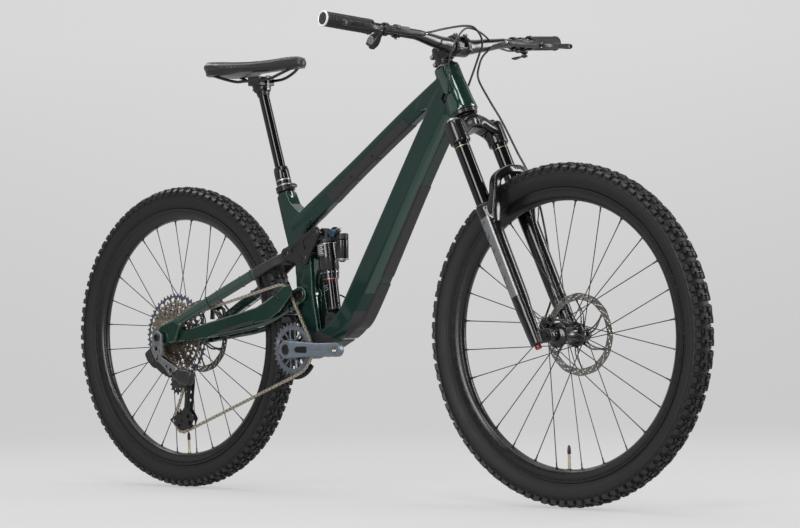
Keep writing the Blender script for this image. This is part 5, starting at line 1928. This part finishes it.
# battery pack hung behind and below the plate
b = B()
prof = [(-0.6180, 0.3520, 0.0), (-0.6330, 0.3440, 0.0), (-0.6440, 0.3370, 0.0), (-0.6480, 0.3290, 0.0), (-0.6400, 0.3150, 0.0),
        (-0.6240, 0.3010, 0.0), (-0.6130, 0.2960, 0.0), (-0.6040, 0.3060, 0.0), (-0.6060, 0.3180, 0.0), (-0.6160, 0.3360, 0.0)]
b.plate([(x, z) for x, z, _ in prof], -0.0925, -0.0735)
piece("mech_battery", b, PLASTIC, "rear_stays", bevel=0.0022, segs=4)
b = B()
b.plate([(-0.6310, 0.3395), (-0.6385, 0.3345), (-0.6405, 0.3290), (-0.6345, 0.3180), (-0.6235, 0.3085), (-0.6170, 0.3120), (-0.6200, 0.3240)],
        -0.0934, -0.0920)
b.plate([(-0.6205, 0.3500), (-0.6235, 0.3515), (-0.6500, 0.3330), (-0.6488, 0.3300)], -0.0900, -0.0765)
piece("mech_battery_latch", b, PLASTIC_G, "rear_stays", bevel=0.0007)
# outer link: silver frame with a window over a dark motor case
b = B()
b.plate([(-0.5930, 0.3252), (-0.5870, 0.3268), (-0.5300, 0.2990), (-0.5288, 0.2925), (-0.5340, 0.2895), (-0.5480, 0.2795),
         (-0.5545, 0.2800), (-0.5650, 0.2915), (-0.5780, 0.3030), (-0.5940, 0.3140), (-0.5970, 0.3190)], -0.0985, -0.0935,
        [(-0.5500, 0.2925, 0.0058), (-0.5640, 0.3020, 0.0036)])
piece("mech_outer_frame", b, GREY, "mech_outer_link", ["derailleur_outer_link"], bevel=0.0008, segs=3)
b = B()
b.plate([(-0.6010, 0.3170), (-0.5900, 0.3215), (-0.5400, 0.2960), (-0.5360, 0.2900), (-0.5480, 0.2745), (-0.5580, 0.2740), (-0.5880, 0.2860),
         (-0.6080, 0.2990)], -0.0945, -0.0850)
for p in (P1, P2):
    b.ycyl(p, 0.0042, -0.0992, -0.0930, 28, 0.0005)
piece("mech_motor_case", b, PLASTIC, "mech_outer_link", bevel=0.0012, segs=3)
b = B()
b.plate(hull2(xz(P1), 0.0068, xz(P2), 0.0066, 40), -0.0830, -0.0768)
piece("mech_inner_plate", b, ALLOY, "mech_inner_link", ["derailleur_inner_link"], bevel=0.0010, segs=3)
b = B()
for p in (P1, P2):
    b.ycyl(p, 0.0046, -0.0840, -0.0760, 28, 0.0006)
piece("mech_inner_pins", b, STEEL, "mech_inner_link")
# knuckle with damper drum
bits = [one(lambda b: b.tube([Vector((-0.5450, -0.0890, 0.2860)), Vector((-0.5340, -0.0890, 0.2815)), Vector((-0.5200, -0.0885, 0.2775)), Vector((-0.5050, -0.0875, 0.2750)),
                              Vector((-0.4940, -0.0870, 0.2735)), Vector((-0.4880, -0.0870, 0.2720)), Vector((-0.4850, -0.0870, 0.2710))],
                             [(0.0070, 0.0100), (0.0092, 0.0140), (0.0118, 0.0190), (0.0124, 0.0195), (0.0122, 0.0188), (0.0108, 0.0168), (0.0080, 0.0130)], 36, Y, 3.4, smooth=4)),
        one(lambda b: b.ycyl(CAGE, 0.0178, -0.0955, -0.0735, 44, 0.0016))]
me = fuse(bits, 0.0009, 8, (), 0.5)
piece("mech_knuckle_shell", me, PLASTIC_G, "mech_knuckle", ["derailleur_knuckle"], angle=50)
b = B()
b.ycyl(CAGE, 0.0060, -0.0972, -0.0950, 32, 0.0005)
b.ycyl((-0.5400, 0, 0.2850), 0.0036, -0.0990, -0.0900, 24, 0.0004)
b.plate([(-0.5180, 0.2905), (-0.4960, 0.2880), (-0.4960, 0.2860), (-0.5180, 0.2880)], -0.1005, -0.0980)
piece("mech_knuckle_trim", b, ALLOY, "mech_knuckle", bevel=0.0003)
# cage: arm, faceted foot with a window round the guide pulley
CAGE_OUT = [(-0.5425, 0.2640), (-0.5360, 0.2790), (-0.5240, 0.2800), (-0.5165, 0.2700), (-0.5180, 0.2520), (-0.5230, 0.2200), (-0.5255, 0.1960),
            (-0.5180, 0.1875), (-0.5085, 0.1740), (-0.5180, 0.1560), (-0.5270, 0.1480), (-0.5620, 0.1480), (-0.5780, 0.1570), (-0.5945, 0.1700),
            (-0.5800, 0.1780), (-0.5620, 0.1860), (-0.5440, 0.1930), (-0.5405, 0.2200), (-0.5400, 0.2420)]
for s, nm in ((-1, "outer"), (1, "inner")):
    y0, y1 = sorted((CY + s * 0.0053, CY + s * 0.0070))
    b = B()
    b.plate(CAGE_OUT, y0, y1, [(-0.5235, 0.1630, 0.0062), (-0.5800, 0.1685, 0.0052), (-0.5610, 0.1560, 0.0046), (-0.5290, 0.1790, 0.0048), (LOWP.x - 0.0005, 0.1840, 0.0026), (-0.5325, 0.2380, 0.0042), (-0.5335, 0.2180, 0.0036)])
    link(b, UPP, 0.0105, Vector((-0.5340, 0, 0.2640)), 0.0110, y0, y1, (), 36)
    piece("mech_cage_" + nm, b, ALLOY_M, "mech_cage", ["derailleur_cage"] if s < 0 else [], bevel=0.0006)
b = B()
# stiffening ridge on the outer plate, pulley bolts, axle sleeves, pivot stub
b.tube([Vector((-0.5265, CY - 0.0075, 0.2560)), Vector((-0.5310, CY - 0.0078, 0.2200)), Vector((-0.5330, CY - 0.0075, 0.1960))],
       [(0.0016, 0.0036), (0.0018, 0.0038), (0.0014, 0.0030)], 20, Y, 3.0, smooth=4)
for q in (UPP, LOWP):
    b.ycyl(q, 0.0042, CY - 0.0092, CY - 0.0065, 28, 0.0005)
    b.ycyl(q, 0.0042, CY + 0.0065, CY + 0.0080, 28, 0.0005)
    b.ycyl(q, 0.0029, CY - 0.0070, CY + 0.0070, 20)
b.ycyl(CAGE, 0.0110, -0.0735, CY - 0.0060, 36)
piece("mech_cage_hardware", b, ALLOY, "mech_cage", bevel=0.0002)
for nm, q, t, i in (("upper", UPP, 12, 4), ("lower", LOWP, 14, 3)):
    ph = tooth_phase(i, t)
    b = B()
    rr = pitch_r(t)
    nh = 5 if t == 12 else 6
    hc = 0.5 * (0.0088 + rr - 0.0058)
    b.plate(toothed(t, 0.0022, 0.0040, ph, xz(q)), CY - 0.0010, CY + 0.0010,
            [(q.x, q.z, 0.0070)] + [(q.x + hc * math.cos(2 * math.pi * k / nh + ph), q.z + hc * math.sin(2 * math.pi * k / nh + ph), 0.0026) for k in range(nh)])
    b.turn([(0.0032, CY - 0.0031), (0.0076, CY - 0.0031), (0.0082, CY - 0.0026), (0.0082, CY + 0.0026), (0.0076, CY + 0.0031), (0.0032, CY + 0.0031)], q, Y, 36)
    piece(nm + "_pulley_toothed", b, ALLOY_M, "mech_%s_pulley" % nm, [nm + "_pulley"], bevel=0.0002)

# chain guide plate and skid under the ring
b = B()
arc_o, arc_i = [], []
for k in range(19):
    t = math.radians(-128 + 5.2 * k)
    arc_o.append((BB.x + 0.0710 * math.cos(t), BB.z + 0.0710 * math.sin(t)))
    arc_i.append((BB.x + 0.0500 * math.cos(t), BB.z + 0.0500 * math.sin(t)))
b.plate(arc_o + arc_i[::-1], -0.0478, -0.0446)
b.plate([(BB.x + 0.0250 * math.cos(math.radians(a)), BB.z + 0.0250 * math.sin(math.radians(a))) for a in range(-150, 151, 12)] , -0.0420, -0.0385,
        [(BB.x, BB.z, 0.0224)])
for a in (-118, -80, -48):
    e = Vector((math.cos(math.radians(a)), 0, math.sin(math.radians(a))))
    b.tube([Vector((BB.x, -0.0402, BB.z)) + e * 0.0240, Vector((BB.x, -0.0455, BB.z)) + e * 0.0530], [(0.0018, 0.0050), (0.0018, 0.0042)], 16, Y, 3.0)
piece("bash_guide", b, PLASTIC, "frame", bevel=0.0007)
b = B()
gp = (BB.x - 0.012, BB.z + 0.0640)
b.plate([(gp[0] - 0.020, gp[1] - 0.004), (gp[0] - 0.016, gp[1] + 0.012), (gp[0] + 0.012, gp[1] + 0.012), (gp[0] + 0.018, gp[1] + 0.000)], -0.0455, -0.0430)
b.plate([(gp[0] - 0.018, gp[1] - 0.002), (gp[0] - 0.014, gp[1] + 0.012), (gp[0] + 0.010, gp[1] + 0.012), (gp[0] + 0.015, gp[1] + 0.001)], -0.0628, -0.0606)
b.plate([(gp[0] - 0.014, gp[1] + 0.0090), (gp[0] - 0.014, gp[1] + 0.0120), (gp[0] + 0.010, gp[1] + 0.0120), (gp[0] + 0.010, gp[1] + 0.0090)], -0.0620, -0.0430)
b.tube([Vector((gp[0], -0.0440, gp[1] + 0.004)), Vector((gp[0] + 0.004, -0.0330, gp[1] + 0.002)), Vector((gp[0] + 0.010, -0.0220, gp[1] - 0.004))], [(0.0060, 0.0040)] * 3, 18, X)
piece("upper_guide", b, PLASTIC, "frame", bevel=0.0006)

# ---------------------------------------------------------------- hoses and cable
HR = 0.0024


def hose(name, pts, body=None, bl=None, r=HR):
    b = B()
    b.tube([Vector(p) for p in pts], r, 16, Vector((0.31, 0.52, 0.79)).normalized(), smooth=8)
    ob = piece(name, b, HOSE, body, sharp=False)
    if bl:
        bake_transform(ob)
    return ob


# rear brake hose: right lever, across the front of the stem, into the left port
A_PTS = [(0.3315, -0.148, 1.0348), (0.3345, -0.120, 1.0400), (0.3360, -0.090, 1.0470), (0.3400, -0.050, 1.0550), (0.3435, -0.018, 1.0595),
         (0.3475, 0.007, 1.0575), (0.3505, 0.027, 1.0400), (0.3470, 0.036, 1.0200), (0.3390, 0.037, 1.0040)]
A_LOW = [(0.3390, 0.037, 1.0040), (0.3270, 0.0375, 0.9800), (0.3130, 0.0365, 0.9500), (0.3030, 0.0325, 0.9250), (0.2940, 0.0250, 0.9085), (0.2890, 0.0195, 0.9040)]
hose("rear_hose_upper", A_PTS, "steering")
hose("rear_hose_lower", A_LOW, None, ("frame", "steering", Vector(A_LOW[-2]), Vector(A_LOW[0])))
# remote cable: left perch, over the stem, down into the right port
C_PTS = [(0.3052, 0.204, 1.0213), (0.3035, 0.180, 1.0200), (0.3040, 0.140, 1.0260), (0.3150, 0.100, 1.0380), (0.3300, 0.058, 1.0480), (0.3400, 0.018, 1.0545),
         (0.3445, -0.015, 1.0540), (0.3455, -0.038, 1.0400), (0.3420, -0.051, 1.0200), (0.3360, -0.057, 1.0020)]
C_LOW = [(0.3360, -0.057, 1.0020), (0.3270, -0.0560, 0.9780), (0.3190, -0.0500, 0.9500), (0.3120, -0.0420, 0.9270), (0.3010, -0.0300, 0.9120), (0.2900, -0.0200, 0.9050)]
hose("remote_cable_upper", C_PTS, "steering", None, 0.0021)
hose("remote_cable_lower", C_LOW, None, ("frame", "steering", Vector(C_LOW[-2]), Vector(C_LOW[0])), 0.0021)
# front brake hose: left lever, forward loop, past the crown, down the left leg
F0 = [(0.3315, 0.148, 1.0348), (0.3300, 0.128, 1.0310), (0.3235, 0.105, 1.0240), (0.3185, 0.075, 1.0020), (0.3180, 0.060, 0.9800), (0.3180, 0.055, 0.9480),
      (0.3330, 0.0740, 0.9000), (0.3600, 0.0850, 0.8500), tuple(steer(0.4500, 0.0370, 0.0850))]
F1 = [tuple(steer(0.4500, 0.0370, 0.0850)), tuple(steer(0.3900, 0.0440, 0.0860)), tuple(steer(0.3300, 0.0420, 0.0865)), tuple(steer(0.2600, 0.0300, 0.0850)),
      tuple(steer(0.2000, 0.0120, 0.0880))]
F2 = [tuple(steer(0.2000, 0.0120, 0.0880)), tuple(steer(0.1500, -0.0020, 0.0870)), tuple(steer(0.1100, -0.0200, 0.0780)), tuple(FCAL + FAL * 0.0000 + rad * 0.0200 + Y * 0.010),
      tuple(FCAL + rad * 0.0126 - FAL * 0.0190)]
hose("front_hose_upper", F0, "steering")
hose("front_hose_middle", F1, None, ("steering", "fork_sliders", Vector(F1[0]), Vector(F1[-1])))
hose("front_hose_lower", F2, "fork_sliders")
b = B()
p = steer(0.2000, 0.0075, 0.0888)
b.block(p, 0.0050, 0.0028, 0.0050, S, Y)
q = steer(0.1500, -0.0020, 0.0872)
b.block(q, 0.0040, 0.0030, 0.0040, S, Y)
piece("hose_clips", b, PLASTIC, "fork_sliders", bevel=0.0008)
# rear hose leaving the frame for the rear caliper, along the left stays
R1 = [(-0.1330, 0.0200, 0.4250), (-0.1500, 0.0290, 0.4120), (-0.1780, 0.0300, 0.4080), (-0.2080, 0.0330, 0.4130)]
R2 = [(-0.2080, 0.0330, 0.4130), (-0.2700, 0.0370, 0.4080), (-0.3600, 0.0440, 0.3900), (-0.4300, 0.0530, 0.3780), (-0.4700, 0.0600, 0.3840)]
R3 = [(-0.4700, 0.0600, 0.3840), (-0.4950, 0.0690, 0.4050), (-0.5150, 0.0740, 0.4300), tuple(RCAL + rad2 * 0.0200 + RAL * 0.0040), tuple(RCAL + rad2 * 0.0126 - RAL * 0.0190)]
hose("stay_hose_front", R1, None, ("frame", "swingarm", Vector(R1[0]), Vector(R1[-1])))
hose("stay_hose_middle", R2, "swingarm")
hose("stay_hose_back", R3, None, ("swingarm", "rear_stays", Vector(R3[0]), Vector(R3[2])))
hose("shock_side_cable", [(-0.0290, 0.0080, 0.4620), (-0.0480, 0.0150, 0.4550), (-0.0700, 0.0265, 0.4580), (-0.1000, 0.0310, 0.4680), (-0.1380, 0.0240, 0.4700)], "frame", None, 0.0020)

# ---------------------------------------------------------------- set, light and camera
FW = Vector((-0.668807, 0.743285, 0.0149993)).normalized()
RT = FW.cross(Z).normalized()
UP = RT.cross(FW)
roll = math.radians(-1.01)
r2 = RT * math.cos(roll) + UP * math.sin(roll)
u2 = UP * math.cos(roll) - RT * math.sin(roll)
cam = bpy.data.objects.new("camera", bpy.data.cameras.new("camera"))
bpy.context.scene.collection.objects.link(cam)
M = Matrix((r2, u2, -FW)).transposed().to_4x4()
M.translation = Vector((3.82039, -4.11162, 0.45295))
cam.matrix_world = M
cam.data.sensor_width, cam.data.lens = 36.0, 109.03
cam.data.clip_end = 100
bpy.context.scene.camera = cam
bpy.context.scene.view_settings.view_transform = "Standard"

flat = Vector((FW.x, FW.y, 0)).normalized()
side = Vector((flat.y, -flat.x, 0))
b = bmesh.new()
prof = [(-9.0, 0.0), (2.6, 0.0)]
for k in range(1, 17):
    t = math.pi / 2 * k / 16
    prof.append((2.6 + 2.2 * math.sin(t), 2.2 - 2.2 * math.cos(t)))
prof.append((4.8, 7.0))
rows = []
for w in (-9.0, 9.0):
    rows.append([b.verts.new(flat * d + side * w + Z * h) for d, h in prof])
for i in range(len(prof) - 1):
    b.faces.new((rows[0][i], rows[0][i + 1], rows[1][i + 1], rows[1][i]))
me = bpy.data.meshes.new("sweep")
b.to_mesh(me)
b.free()
me.shade_smooth()
sweep = bpy.data.objects.new("studio_sweep", me)
bpy.context.scene.collection.objects.link(sweep)
fm = mat("studio_floor", (0.17, 0.17, 0.17), 0.9, nscale=1.5, cvar=0.006, rvar=0.02, bump=0.0, spec=0.05)
nt = fm.node_tree
pb = nt.nodes["Principled BSDF"]
tcn, sx, mrn = nt.nodes.new("ShaderNodeTexCoord"), nt.nodes.new("ShaderNodeSeparateXYZ"), nt.nodes.new("ShaderNodeMapRange")
nt.links.new(tcn.outputs["Object"], sx.inputs["Vector"])
nt.links.new(sx.outputs["Z"], mrn.inputs["Value"])
mrn.inputs["From Min"].default_value, mrn.inputs["From Max"].default_value = 0.0, 1.6
mrn.inputs["To Min"].default_value, mrn.inputs["To Max"].default_value = 0.45, 0.58
nt.links.new(mrn.outputs["Result"], pb.inputs["Emission Strength"])
pb.inputs["Emission Color"].default_value = (1.0, 1.0, 1.0, 1)
me.materials.append(fm)
sweep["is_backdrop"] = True


def area(name, loc, look, size, energy, size_y=None, col=(1, 1, 1), spread=None):
    ld = bpy.data.lights.new(name, "AREA")
    ld.energy, ld.color, ld.size = energy, col, size
    if size_y:
        ld.shape, ld.size_y = "RECTANGLE", size_y
    if spread:
        ld.spread = spread
    o = bpy.data.objects.new(name, ld)
    bpy.context.scene.collection.objects.link(o)
    o.location = loc
    o.rotation_euler = (Vector(look) - Vector(loc)).to_track_quat("-Z", "Y").to_euler()
    return o


C0 = Vector((0, 0, 0.6))
area("top", C0 + Z * 3.0, C0, 3.2, 84, 3.2)
area("key", C0 - flat * 3.1 - side * 1.5 + Z * 0.9, C0 + Z * 0.1, 1.10, 92, 2.8)
area("strip", C0 - flat * 3.2 + side * 1.3 + Z * 0.8, C0 + Z * 0.1, 0.20, 26, 2.6)
area("front_top", C0 - flat * 2.5 + Z * 2.9, C0 + Z * 0.45, 0.8, 22, 0.8)
area("right", C0 + side * 3.2 + flat * 0.2 + Z * 0.9, C0 + Z * 0.1, 0.55, 58, 2.6)
area("left_wide", C0 - side * 3.1 - flat * 0.3 + Z * 1.0, C0, 3.0, 13, 2.2)
area("back", C0 + flat * 1.6 - side * 1.6 + Z * 2.4, C0, 1.2, 34, 1.2)
w = bpy.data.worlds.new("studio")
bpy.context.scene.world = w
w.use_nodes = True
bg = w.node_tree.nodes["Background"]
bg.inputs["Color"].default_value = (0.90, 0.91, 0.92, 1)
bg.inputs["Strength"].default_value = 0.11

lo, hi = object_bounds()
